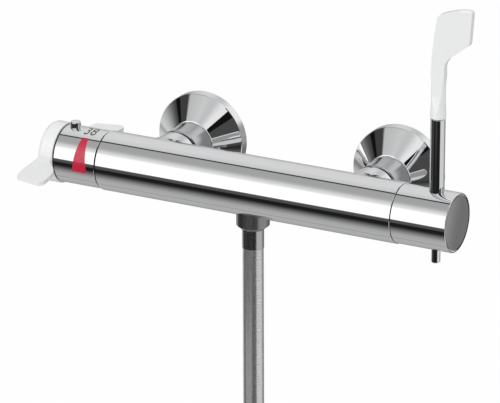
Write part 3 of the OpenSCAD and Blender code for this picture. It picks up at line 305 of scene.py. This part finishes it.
def mixColor(tree, factor, first, second):
    # a colour is four numbers, one grey or a socket; inputs 6 and 7 are the node's two colours
    node = addNode(tree, "ShaderNodeMix", data_type="RGBA")
    tree.links.new(factor, node.inputs[0])
    for socket, value in ((node.inputs[6], first), (node.inputs[7], second)):
        if isinstance(value, tuple):
            socket.default_value = value
        elif isinstance(value, float):
            socket.default_value = grey(value)
        else:
            tree.links.new(value, socket)
    return node.outputs[2]


def cardMask(tree, axes, sides):
    # product of one soft step for each side; a step that falls is one minus a step that rises
    mask = None
    for axis, start, end in sides:
        step = rangeNode(tree, axes[axis], min(start, end), max(start, end))
        if start > end:
            step = mathNode(tree, "SUBTRACT", 1.0, step)
        mask = step if mask is None else mathNode(tree, "MULTIPLY", mask, step)
    return mask


def makeWorld():
    world = bpy.data.worlds.new("studio")
    world.use_nodes = True
    tree = world.node_tree
    tree.nodes.clear()
    place = addNode(tree, "ShaderNodeTexCoord")
    split = addNode(tree, "ShaderNodeSeparateXYZ")
    tree.links.new(place.outputs["Generated"], split.inputs[0])
    axes = split.outputs
    turn = mathNode(tree, "ARCTAN2", axes["Z"], mathNode(tree, "MULTIPLY", axes["Y"], -1.0))
    share = mathNode(tree, "MULTIPLY_ADD", turn, 1 / (2 * math.pi))
    share.node.inputs[2].default_value = 0.5  # -180 to 180 degrees become 0 to 1
    gloss = rampNode(tree, [((angle + 180) / 360, value) for angle, value in studio["strips"]], share)
    for value, *sides in studio["cards"].values():
        gloss = mixColor(tree, cardMask(tree, axes, sides), gloss, value)
    path = addNode(tree, "ShaderNodeLightPath")
    light = mixColor(tree, path.outputs["Is Glossy Ray"], studio["fill"], gloss)
    seen = mathNode(tree, "MAXIMUM", path.outputs["Is Camera Ray"], path.outputs["Is Transmission Ray"])
    light = mixColor(tree, seen, light, 1.0)
    background = addNode(tree, "ShaderNodeBackground")
    tree.links.new(light, background.inputs["Color"])
    output = addNode(tree, "ShaderNodeOutputWorld")
    tree.links.new(background.outputs[0], output.inputs[0])
    bpy.context.scene.world = world


def makeFloor():
    bm = bmesh.new()
    bmesh.ops.create_grid(bm, x_segments=1, y_segments=1, size=studio["floorHalf"],
                          matrix=Matrix.Translation((0, 0, studio["floorZ"])))
    floor = meshObject("floor", bm)
    material = bpy.data.materials.new("floor")
    material.use_nodes = True
    tree = material.node_tree
    tree.nodes.clear()
    path = addNode(tree, "ShaderNodeLightPath")
    share = mathNode(tree, "MULTIPLY", path.outputs["Is Camera Ray"], studio["floorGlow"])
    paint = addNode(tree, "ShaderNodeBsdfDiffuse")
    paint.inputs["Color"].default_value = grey(studio["floorGrey"])
    glow = addNode(tree, "ShaderNodeEmission")
    glow.inputs["Strength"].default_value = 1.0
    mixer = addNode(tree, "ShaderNodeMixShader")
    tree.links.new(share, mixer.inputs[0])
    tree.links.new(paint.outputs[0], mixer.inputs[1])
    tree.links.new(glow.outputs[0], mixer.inputs[2])
    output = addNode(tree, "ShaderNodeOutputMaterial")
    tree.links.new(mixer.outputs[0], output.inputs[0])
    floor.data.materials.append(material)
    floor.visible_glossy = False


bpy.context.scene.view_settings.view_transform = "Standard"
makeWorld()
makeFloor()
print("studio made")

# lamps: two soft ones for the whole scene, and one low at the left that lights the hose alone

lamps = {
    "key lamp": {"place": (-0.9, -1.5, 1.6), "aim": (0, -0.07, 0), "size": (1.2, 1.2), "power": 20.0},
    "fill lamp": {"place": (1.6, -0.9, 0.9), "aim": (0, -0.07, 0), "size": (1.2, 1.2), "power": 6.0},
    "low lamp": {"place": (-0.123, -0.291, -0.255), "aim": (0, axisY, -0.14), "size": (0.40, 0.11),
                 "power": 0.03},
}


def addLamp(name, receiver=None):
    # a lamp with a receiver lights that piece alone, gloss and all; the others don't show in gloss
    lamp = lamps[name]
    data = bpy.data.lights.new(name, "AREA")
    data.shape = "RECTANGLE"
    data.size, data.size_y = lamp["size"]
    data.energy = lamp["power"]
    obj = bpy.data.objects.new(name, data)
    bpy.context.scene.collection.objects.link(obj)
    heading = Vector(lamp["aim"]) - Vector(lamp["place"])
    turn = heading.to_track_quat("-Z", "Y").to_matrix()
    obj.matrix_world = Matrix.Translation(lamp["place"]) @ turn.to_4x4()
    obj.visible_glossy = receiver is not None
    if receiver:
        receivers = bpy.data.collections.new(name + " receivers")
        receivers.objects.link(receiver)
        obj.light_linking.receiver_collection = receivers


addLamp("key lamp")
addLamp("fill lamp")
addLamp("low lamp", hoseTube)
print("lamps placed")

# finishes

surface = {"grainDetail": 4, "bumpHeight": 0.0001, "coatRoughness": 0.05, "noStretch": (1, 1, 1)}


def plainMaterial(name, color, metallic, roughness, coat=0.0):
    material = bpy.data.materials.new(name)
    material.use_nodes = True
    shader = material.node_tree.nodes["Principled BSDF"]
    shader.inputs["Base Color"].default_value = (*color, 1)
    shader.inputs["Metallic"].default_value = metallic
    shader.inputs["Roughness"].default_value = roughness
    shader.inputs["Coat Weight"].default_value = coat
    shader.inputs["Coat Roughness"].default_value = surface["coatRoughness"]
    return material, shader


def noiseRange(tree, scale, detail, low, high, stretch=surface["noStretch"]):
    # a noise on object coordinates, brought between two values, and the noise itself
    place = addNode(tree, "ShaderNodeTexCoord")
    mapping = addNode(tree, "ShaderNodeMapping")
    mapping.inputs["Scale"].default_value = stretch
    noise = addNode(tree, "ShaderNodeTexNoise")
    noise.inputs["Scale"].default_value = scale
    noise.inputs["Detail"].default_value = detail
    tree.links.new(place.outputs["Object"], mapping.inputs["Vector"])
    tree.links.new(mapping.outputs["Vector"], noise.inputs["Vector"])
    node = addNode(tree, "ShaderNodeMapRange")
    node.inputs["To Min"].default_value = low
    node.inputs["To Max"].default_value = high
    tree.links.new(noise.outputs["Fac"], node.inputs["Value"])
    return node.outputs["Result"], noise.outputs["Fac"]


def bumpInto(tree, shader, source, strength, distance):
    bump = addNode(tree, "ShaderNodeBump")
    bump.inputs["Strength"].default_value = strength
    bump.inputs["Distance"].default_value = distance
    tree.links.new(source, bump.inputs["Height"])
    tree.links.new(bump.outputs["Normal"], shader.inputs["Normal"])


def finish(name, color, metallic, rough, scale, bump=0.0, coat=0.0, shade=0.0,
           stretch=surface["noStretch"]):
    # roughness drifts between its two values; shade lets the colour drift darker by that share
    material, shader = plainMaterial(name, color, metallic, rough[0], coat)
    tree = material.node_tree
    level, raw = noiseRange(tree, scale, surface["grainDetail"], *rough, stretch)
    tree.links.new(level, shader.inputs["Roughness"])
    if bump:
        bumpInto(tree, shader, raw, bump, surface["bumpHeight"])
    if shade:
        dark = tuple(c * (1 - shade) for c in color)
        tree.links.new(mixColor(tree, raw, (*dark, 1), (*color, 1)), shader.inputs["Base Color"])
    return material


# name, colour, metallic, roughness from and to, scale of the drift

finishes = {
    "chrome": finish("polished chrome", (0.90, 0.905, 0.915), 1.0, (0.016, 0.034), 60),
    "satinSteel": finish("plain stainless", (0.62, 0.63, 0.65), 1.0, (0.22, 0.38), 400, bump=0.1, shade=0.15),
    "brass": finish("machined brass", (0.78, 0.60, 0.32), 1.0, (0.18, 0.32), 500, bump=0.15, shade=0.2),
    # painted shade: brass darkened nearly to black for the nut seen in the running gap
    "shadedBrass": finish("brass with painted shade", (0.16, 0.13, 0.08), 1.0, (0.35, 0.5), 500, bump=0.15, shade=0.3),
    "copper": finish("copper bulb", (0.72, 0.42, 0.27), 1.0, (0.22, 0.4), 300, bump=0.1, shade=0.2),
    "white": finish("white moulded plastic", (0.86, 0.865, 0.87), 0.0, (0.16, 0.24), 180,
                    bump=0.03, coat=0.3),
    "natural": finish("natural plastic", (0.80, 0.79, 0.72), 0.0, (0.4, 0.55), 300, bump=0.08),
    "black": finish("black plastic", (0.018, 0.018, 0.02), 0.0, (0.35, 0.5), 400, bump=0.1),
    "rubber": finish("black rubber", (0.02, 0.02, 0.02), 0.0, (0.6, 0.8), 500, bump=0.2),
    "ceramic": finish("lapped ceramic", (0.90, 0.89, 0.85), 0.0, (0.12, 0.2), 300),
    "red": finish("red marking", (0.55, 0.012, 0.05), 0.0, (0.2, 0.3), 200, coat=0.8),
    # satin roughness, with its colour darkened as painted shade for the nuts and ferrule under the body
    "shadedSatinChrome": finish("satin chrome with painted shade", (0.62, 0.625, 0.635), 1.0, (0.15, 0.24), 500, bump=0.06),
    "nutChrome": finish("dulled chrome", (0.56, 0.565, 0.575), 1.0, (0.26, 0.38), 1300,
                        bump=0.2, shade=0.55, stretch=(1, 1, 0)),
    # painted shade: near black, standing in for the shade inside the running gaps and the pocket
    "gapShade": finish("painted gap shade", (0.03, 0.028, 0.026), 0.0, (0.5, 0.7), 500, bump=0.1),
    "ink": finish("dark print", (0.03, 0.03, 0.032), 0.0, (0.3, 0.45), 600),
}
slotFinish = {
    "chrome": "chrome", "brass": "brass", "white_plastic": "white", "valve_plastic": "natural",
    "black_plastic": "black", "rubber": "rubber", "steel": "satinSteel", "copper": "copper",
    "ceramic": "ceramic", "red_band": "red", "hose_skin": "satinSteel",
}
nodeFinish = {
    "hot_union_nut": "shadedSatinChrome",
    "cold_union_nut": "shadedSatinChrome",
    "hose_nut": "nutChrome",
    "hose_ferrule": "shadedSatinChrome",
    "cartridge_nut": "shadedBrass",  # darkened as painted shade, as it shows through the running gap, which is dark
}


def setFinish(obj, *names):
    obj.data.materials.clear()
    for name in names:
        obj.data.materials.append(finishes[name])


for part in frame["record"]["subparts"]:
    name = part["node"]
    setFinish(nodes[name], nodeFinish.get(name, slotFinish[part["material_slot"]]))
print("finishes made")

# hose skin: bright wrapped tape, whose spiral follows the hose's own UV

hoseSkin = {
    "metallic": 0.9,
    "rough": (0.16, 0.3),
    "pitch": 0.0022,
    "mottleScale": 900,
    "mottleDetail": 3,
    "shades": ((0.3, 0.7), (0.7, 0.98)),  # (noise, grey), dark and light
    "wrapShare": 0.5,
    "bump": 0.25,
    "bumpHeight": 0.00012,
}


def hoseMaterial():
    lightGrey = hoseSkin["shades"][1][1]
    material, shader = plainMaterial("wrapped hose", (lightGrey,) * 3, hoseSkin["metallic"],
                                     hoseSkin["rough"][1])
    tree = material.node_tree
    place = addNode(tree, "ShaderNodeUVMap")
    place.uv_map = "UVMap"
    split = addNode(tree, "ShaderNodeSeparateXYZ")
    tree.links.new(place.outputs["UV"], split.inputs[0])
    along = mathNode(tree, "DIVIDE", split.outputs["X"], hoseSkin["pitch"])
    turn = mathNode(tree, "MULTIPLY", mathNode(tree, "ADD", along, split.outputs["Y"]), 2 * math.pi)
    wrap = mathNode(tree, "MULTIPLY", mathNode(tree, "SINE", turn), hoseSkin["wrapShare"])
    level, raw = noiseRange(tree, hoseSkin["mottleScale"], hoseSkin["mottleDetail"], *hoseSkin["rough"])
    tree.links.new(level, shader.inputs["Roughness"])
    tree.links.new(rampNode(tree, hoseSkin["shades"], raw), shader.inputs["Base Color"])
    height = mathNode(tree, "ADD", wrap, raw)
    bumpInto(tree, shader, height, hoseSkin["bump"], hoseSkin["bumpHeight"])
    return material


finishes["hoseSkin"] = hoseMaterial()
setFinish(hoseTube, "hoseSkin")
for obj in (hoseTube, nodes["hose_ties"], nodes["far_ferrule"], nodes["far_insert"], nodes["far_nut"]):
    obj.visible_glossy = False  # the photograph's chrome mirrors no hose
print("hose skin made")

# copies of CAD meshes: merged, then given clean shading normals

shading = {
    "weld": 1e-6,  # points nearer than this become one
    "sliver": 1e-7,  # shorter edges are dissolved
    "smoothDegrees": 30,  # machined pieces: a sharper turn stays an edge
    "mouldedDegrees": 36,
    "onRound": 4e-5,  # a point this near to the radius is on the round
    "sideways": 0.05,  # largest share of x in the normal of a face on the round
    "straightOut": 0.98,  # least share of its normal that looks straight out
    "endOn": 0.5,  # least share of x in the normal of an end face
}


def mergedCopy(name):
    bm = bmesh.new()
    bm.from_mesh(nodes[name].data)
    bmesh.ops.remove_doubles(bm, verts=bm.verts, dist=shading["weld"])
    bmesh.ops.dissolve_degenerate(bm, edges=bm.edges, dist=shading["sliver"])
    bmesh.ops.recalc_face_normals(bm, faces=bm.faces)
    return bm


def cornerNormals(bm, limitDegrees, groups=None, fixedNormal=None):
    # one normal for each corner: faces at a point join in if they turn less than the limit or share a
    # group, and a fixed normal goes before both
    limit = math.cos(math.radians(limitDegrees))
    normals = []
    for face in bm.faces:
        group = groups[face] if groups else 0
        for loop in face.loops:
            normal = fixedNormal(face, loop.vert, group) if fixedNormal else None
            if normal is None:
                normal = Vector((0, 0, 0))
                for other in loop.vert.link_loops:
                    near = groups[other.face] if groups else 0
                    if near == group and (group or other.face.normal.dot(face.normal) > limit):
                        normal += other.face.normal * other.face.calc_area()
                normal = normal.normalized() if normal.length > 0 else face.normal.copy()
            normals.append(normal)
    return normals


def roundNormal(vert, radius):
    # for a point on the round of this radius, the direction straight out from the axis
    out = Vector((0, vert.co.y - axisY, vert.co.z))
    return out.normalized() if abs(out.length - radius) <= shading["onRound"] else None


def onRound(face, out):
    return abs(face.normal.x) <= shading["sideways"] and face.normal.dot(out) > shading["straightOut"]


def shadedCopy(name, bm, normals, body, slot, node, *finishNames):
    for face in bm.faces:
        face.smooth = True
    obj = meshObject(name, bm)
    obj.data.normals_split_custom_set(normals)
    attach(obj, body)
    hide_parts(node)
    setFinish(obj, *finishNames)
    return obj


# casting: the bosses flow into the round of the bar, and the bar's left end is painted near black as shade in
# the running gap

casting = {
    "radius": 0.0205,
    "bossX": 0.075,
    "bossInner": 0.0135,
    "bossOuter": 0.0340,
    "bossProud": 2e-6,  # a face of a boss lies at least this far outside the bar
    "bossBack": 0.98,  # faces that look at the wall more squarely than this are the boss's flat end
    "bossFacing": 0.6,  # least share of a boss face's normal that looks straight out, beside the bar
    "leftEndX": -0.1096,
}


def bossGroups(bm):
    # 1 for the flared sides of the two bosses, 0 for the rest
    groups = {}
    for face in bm.faces:
        middle = face.calc_center_median()
        fromBoss = math.hypot(abs(middle.x) - casting["bossX"], middle.z)
        fromAxis = math.hypot(middle.y - axisY, middle.z)
        beside = casting["bossInner"] < fromBoss < casting["bossOuter"] and middle.y > axisY
        proud = fromAxis > casting["radius"] + casting["bossProud"]
        groups[face] = int(beside and proud and face.normal.y < casting["bossBack"])
    return groups


def bodyNormal(face, vert, group):
    out = roundNormal(vert, casting["radius"])
    if out is None:
        return None
    if group:
        return out if face.normal.dot(out) > casting["bossFacing"] else None
    return out if onRound(face, out) else None


def makeBodyShell():
    bm = mergedCopy("mixer_body")
    # the left end face gets the painted gap shade
    for face in bm.faces:
        atEnd = face.calc_center_median().x < casting["leftEndX"]
        face.material_index = int(atEnd and face.normal.x < -shading["endOn"])
    normals = cornerNormals(bm, shading["smoothDegrees"], bossGroups(bm), bodyNormal)
    shadedCopy("body_shell", bm, normals, "mixer", "chrome", "mixer_body", "chrome", "gapShade")


makeBodyShell()
print("body shell made")

# handle shells: the sleeve ends beside the running gaps, the pocket lining and the disc's rim are painted
# near black as shade, so the gaps read dark

sleeves = {
    "radius": 0.020,
    "seamX": -0.1110,
    "seamBack": 0.00035,
    "capX": -0.1422,
    "pocketRadius": 0.0194,
    "pocketX": 0.1456,
    "pocketFloor": 0.9,  # least share of x in the normal of the pocket's floor
}
endDisc = {
    "gap": 0.00045,
    "crown": 0.044,  # how far the normals lean outwards at the rim
    "front": 0.99,  # least share of x in the normal of the front
    "frontDepth": 1e-5,  # the front is no deeper than this
}


def sleeveNormal(face, vert, group):
    out = roundNormal(vert, sleeves["radius"])
    return out if out is not None and onRound(face, out) else None


def makeTemperatureShell():
    bm = mergedCopy("temperature_sleeve")
    # the seam end and the cap end get the painted gap shade
    for face in bm.faces:
        x = face.calc_center_median().x
        atSeam = x > sleeves["seamX"] and face.normal.x > shading["endOn"]
        atCap = x < sleeves["capX"] and face.normal.x < -shading["endOn"]
        face.material_index = int(atSeam or atCap)
    for vert in bm.verts:
        if vert.co.x > sleeves["seamX"]:
            vert.co.x -= sleeves["seamBack"]
    normals = cornerNormals(bm, shading["smoothDegrees"], None, sleeveNormal)
    shadedCopy("temperature_shell", bm, normals, "temperature_handle", "chrome", "temperature_sleeve",
               "chrome", "gapShade")


def makeFlowShell():
    bm = mergedCopy("flow_sleeve")
    # the pocket's lining gets the painted gap shade
    for face in bm.faces:
        middle = face.calc_center_median()
        out = Vector((0, middle.y - axisY, middle.z))
        inPocket = out.length < sleeves["pocketRadius"] and middle.x > sleeves["pocketX"]
        lining = face.normal.x > sleeves["pocketFloor"] or face.normal.dot(out) < 0
        face.material_index = int(inPocket and lining)
    normals = cornerNormals(bm, shading["smoothDegrees"], None, sleeveNormal)
    shadedCopy("flow_shell", bm, normals, "flow_handle", "chrome", "flow_sleeve", "chrome", "gapShade")


def makeEndDisc():
    # the disc is a little smaller than its pocket and very slightly crowned, which its shading normals carry
    bm = mergedCopy("flow_cap")
    far = max(v.co.x for v in bm.verts)
    radius = max(math.hypot(v.co.y - axisY, v.co.z) for v in bm.verts)
    share = 1 - endDisc["gap"] / radius
    for vert in bm.verts:
        vert.co.y = axisY + (vert.co.y - axisY) * share
        vert.co.z *= share
    bm.normal_update()
    tilt = endDisc["crown"] / radius

    def crowned(face, vert, group):
        if face.normal.x < endDisc["front"] or vert.co.x < far - endDisc["frontDepth"]:
            return None
        return Vector((1, (vert.co.y - axisY) * tilt, vert.co.z * tilt)).normalized()

    # the disc's rim gets the painted gap shade, a dark line round it
    for face in bm.faces:
        face.material_index = int(abs(face.normal.x) < shading["endOn"])
    normals = cornerNormals(bm, shading["smoothDegrees"], None, crowned)
    shadedCopy("flow_disc", bm, normals, "flow_handle", "chrome", "flow_cap", "chrome", "gapShade")


makeTemperatureShell()
makeFlowShell()
makeEndDisc()
print("handle shells made")

# white mouldings: the lever grip and the winged cap, with softened edges

moulding = {
    "flatDegrees": 1.2,
    "sharpDegrees": 40,
    "edge": 0.00035,
    "bladeEdge": 0.0009,
    "bladeFrom": 0.088,  # above this height is the grip's blade, whose edges are rounder
    "segments": 3,
}


def sharpEdges(bm, degrees):
    limit = math.radians(degrees)
    return [e for e in bm.edges if len(e.link_faces) == 2 and e.calc_face_angle(0) > limit]


def roundEdges(bm, edges, width, segments):
    edges = [e for e in edges if e.is_valid]
    if edges:
        bmesh.ops.bevel(bm, geom=edges, offset=width, offset_type="OFFSET", affect="EDGES",
                        segments=segments, profile=0.5, material=-1, clamp_overlap=True)


def mouldedCopy(name, bm, body, slot, node, finishName):
    bmesh.ops.recalc_face_normals(bm, faces=bm.faces)
    settleOrder(bm)
    normals = cornerNormals(bm, shading["mouldedDegrees"])
    return shadedCopy(name, bm, normals, body, slot, node, finishName)


def softenedCopy(node, name, body):
    bm = mergedCopy(node)
    bmesh.ops.dissolve_limit(bm, angle_limit=math.radians(moulding["flatDegrees"]),
                             verts=bm.verts, edges=bm.edges)
    blade = []
    rest = []
    for edge in sharpEdges(bm, moulding["sharpDegrees"]):
        onBlade = min(v.co.z for v in edge.verts) > moulding["bladeFrom"]
        (blade if onBlade else rest).append(edge)
    roundEdges(bm, blade, moulding["bladeEdge"], moulding["segments"])
    roundEdges(bm, rest, moulding["edge"], moulding["segments"])
    return mouldedCopy(name, bm, body, "white_plastic", node, "white")


softenedCopy("lever_grip", "grip_moulding", "flow_handle")
wingMoulding = softenedCopy("wing_grip", "wing_moulding", "temperature_handle")
wingMoulding.visible_glossy = False  # the photograph's chrome mirrors no wings
print("white mouldings made")

# override button: the rim of its domed top is rounded

button = {"rim": (0.0234, 0.0240), "rimDegrees": 40, "round": 0.0010, "segments": 5}


def makeButtonShell():
    bm = mergedCopy("override_button")
    low, high = button["rim"]
    sharp = sharpEdges(bm, button["rimDegrees"])
    rim = [e for e in sharp if all(low < v.co.z < high for v in e.verts)]
    roundEdges(bm, rim, button["round"], button["segments"])
    mouldedCopy("button_shell", bm, "override_button", "chrome", "override_button", "chrome")


makeButtonShell()
print("button shell made")

# collar of the outlet: the body reaches down round the hose nut

collar = {
    "bodyRadius": 0.0204,  # just inside the body, so that no gap shows
    "outer": 0.01135,
    "inner": 0.0100,
    "bottom": -0.0218,
    "sides": 72,
    "creaseRadians": 0.6,
}


def makeOutletCollar():
    # a ring extruded outwards, up to the body and back in, then closed on its inside
    bm = bmesh.new()
    bmesh.ops.create_circle(bm, segments=collar["sides"], radius=collar["inner"],
                            matrix=Matrix.Translation((0, axisY, collar["bottom"])))
    edges = bm.edges[:]
    for radius, onBody in ((collar["outer"], False), (collar["outer"], True), (collar["inner"], True)):
        made = bmesh.ops.extrude_edge_only(bm, edges=edges)["geom"]
        edges = newParts(made, bmesh.types.BMEdge)
        for vert in newParts(made, bmesh.types.BMVert):
            flat = Vector((vert.co.x, vert.co.y - axisY, 0)).normalized() * radius
            z = -math.sqrt(collar["bodyRadius"] ** 2 - flat.y ** 2) if onBody else collar["bottom"]
            vert.co = Vector((flat.x, axisY + flat.y, z))
    bmesh.ops.bridge_loops(bm, edges=[e for e in bm.edges if e.is_boundary])
    bmesh.ops.recalc_face_normals(bm, faces=bm.faces)
    smoothShading(bm, collar["creaseRadians"])
    settleOrder(bm)
    obj = meshObject("outlet_collar", bm)
    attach(obj, "mixer")
    setFinish(obj, "nutChrome")


makeOutletCollar()
print("outlet collar made")

# number on the temperature sleeve, wrapped round it

number = {
    "text": "38",
    "x": (-0.1261, -0.1175),
    "degrees": (69.5, 97),
    "radius": 0.02002,
    "thickness": 0.00005,
    "thin": -0.006,  # strokes are drawn in by this much of the letters' size
    "flatDepth": 0.05,  # any depth does, as the thickness takes its place
    "cuts": 9,
}


def makeNumber():
    curve = bpy.data.curves.new("number", "FONT")
    curve.body = number["text"]
    curve.extrude = number["flatDepth"]
    curve.offset = number["thin"]
    flat = bpy.data.objects.new("number", curve)
    bpy.context.scene.collection.objects.link(flat)
    bm = bmesh.new()
    bm.from_mesh(bpy.data.meshes.new_from_object(flat))
    bpy.data.objects.remove(flat)
    low = [min(v.co[i] for v in bm.verts) for i in range(3)]
    high = [max(v.co[i] for v in bm.verts) for i in range(3)]
    for i in range(1, number["cuts"] + 1):
        height = low[1] + (high[1] - low[1]) * i / (number["cuts"] + 1)
        bmesh.ops.bisect_plane(bm, geom=bm.verts[:] + bm.edges[:] + bm.faces[:], plane_co=(0, height, 0),
                               plane_no=(0, 1, 0))
    bmesh.ops.remove_doubles(bm, verts=bm.verts, dist=shading["weld"])
    left, right = number["x"]
    front, back = number["degrees"]
    for vert in bm.verts:
        across, up, deep = [(vert.co[i] - low[i]) / (high[i] - low[i]) for i in range(3)]
        angle = math.radians(front + (back - front) * up)
        radius = number["radius"] + number["thickness"] * (deep - 0.5) * 2
        vert.co = Vector((left + (right - left) * across,
                          axisY - radius * math.cos(angle), radius * math.sin(angle)))
    bmesh.ops.recalc_face_normals(bm, faces=bm.faces)
    obj = meshObject("sleeve_number", bm)
    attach(obj, "temperature_handle")
    setFinish(obj, "ink")


makeNumber()
print("number made")

# springs inside: smooth-shaded copies; three ride on the pieces that hold them, and the return spring stays
# where it is

checkSpring = {"body": "mixer", "axis": (0, 1, 0), "length": 0.008564, "travel": 0.0022}
squeezedSprings = {
    "hot_check_spring": {**checkSpring, "joint": "hot_check_open", "anchor": (-0.075, -0.04175, 0)},
    "cold_check_spring": {**checkSpring, "joint": "cold_check_open", "anchor": (0.075, -0.04175, 0)},
    "override_spring": {"body": "temperature_handle", "axis": (0, 0, 1), "length": 0.003794, "travel": 0.002,
                        "joint": "override_button_press", "anchor": (-0.136, axisY, 0.00855)},
}
wire = {"creaseRadians": 1.4}  # only the cut ends of a wire stay sharp


def springCopy(node):
    bm = mergedCopy(node)
    smoothShading(bm, wire["creaseRadians"])
    obj = meshObject(node.replace("spring", "coil"), bm)
    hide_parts(node)
    setFinish(obj, "satinSteel")
    return obj


def makeSprings():
    for node, spring in squeezedSprings.items():
        obj = springCopy(node)
        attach(obj, spring["body"])
        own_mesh(obj)
    obj = springCopy("return_spring")
    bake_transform(obj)


makeSprings()
print("springs made")
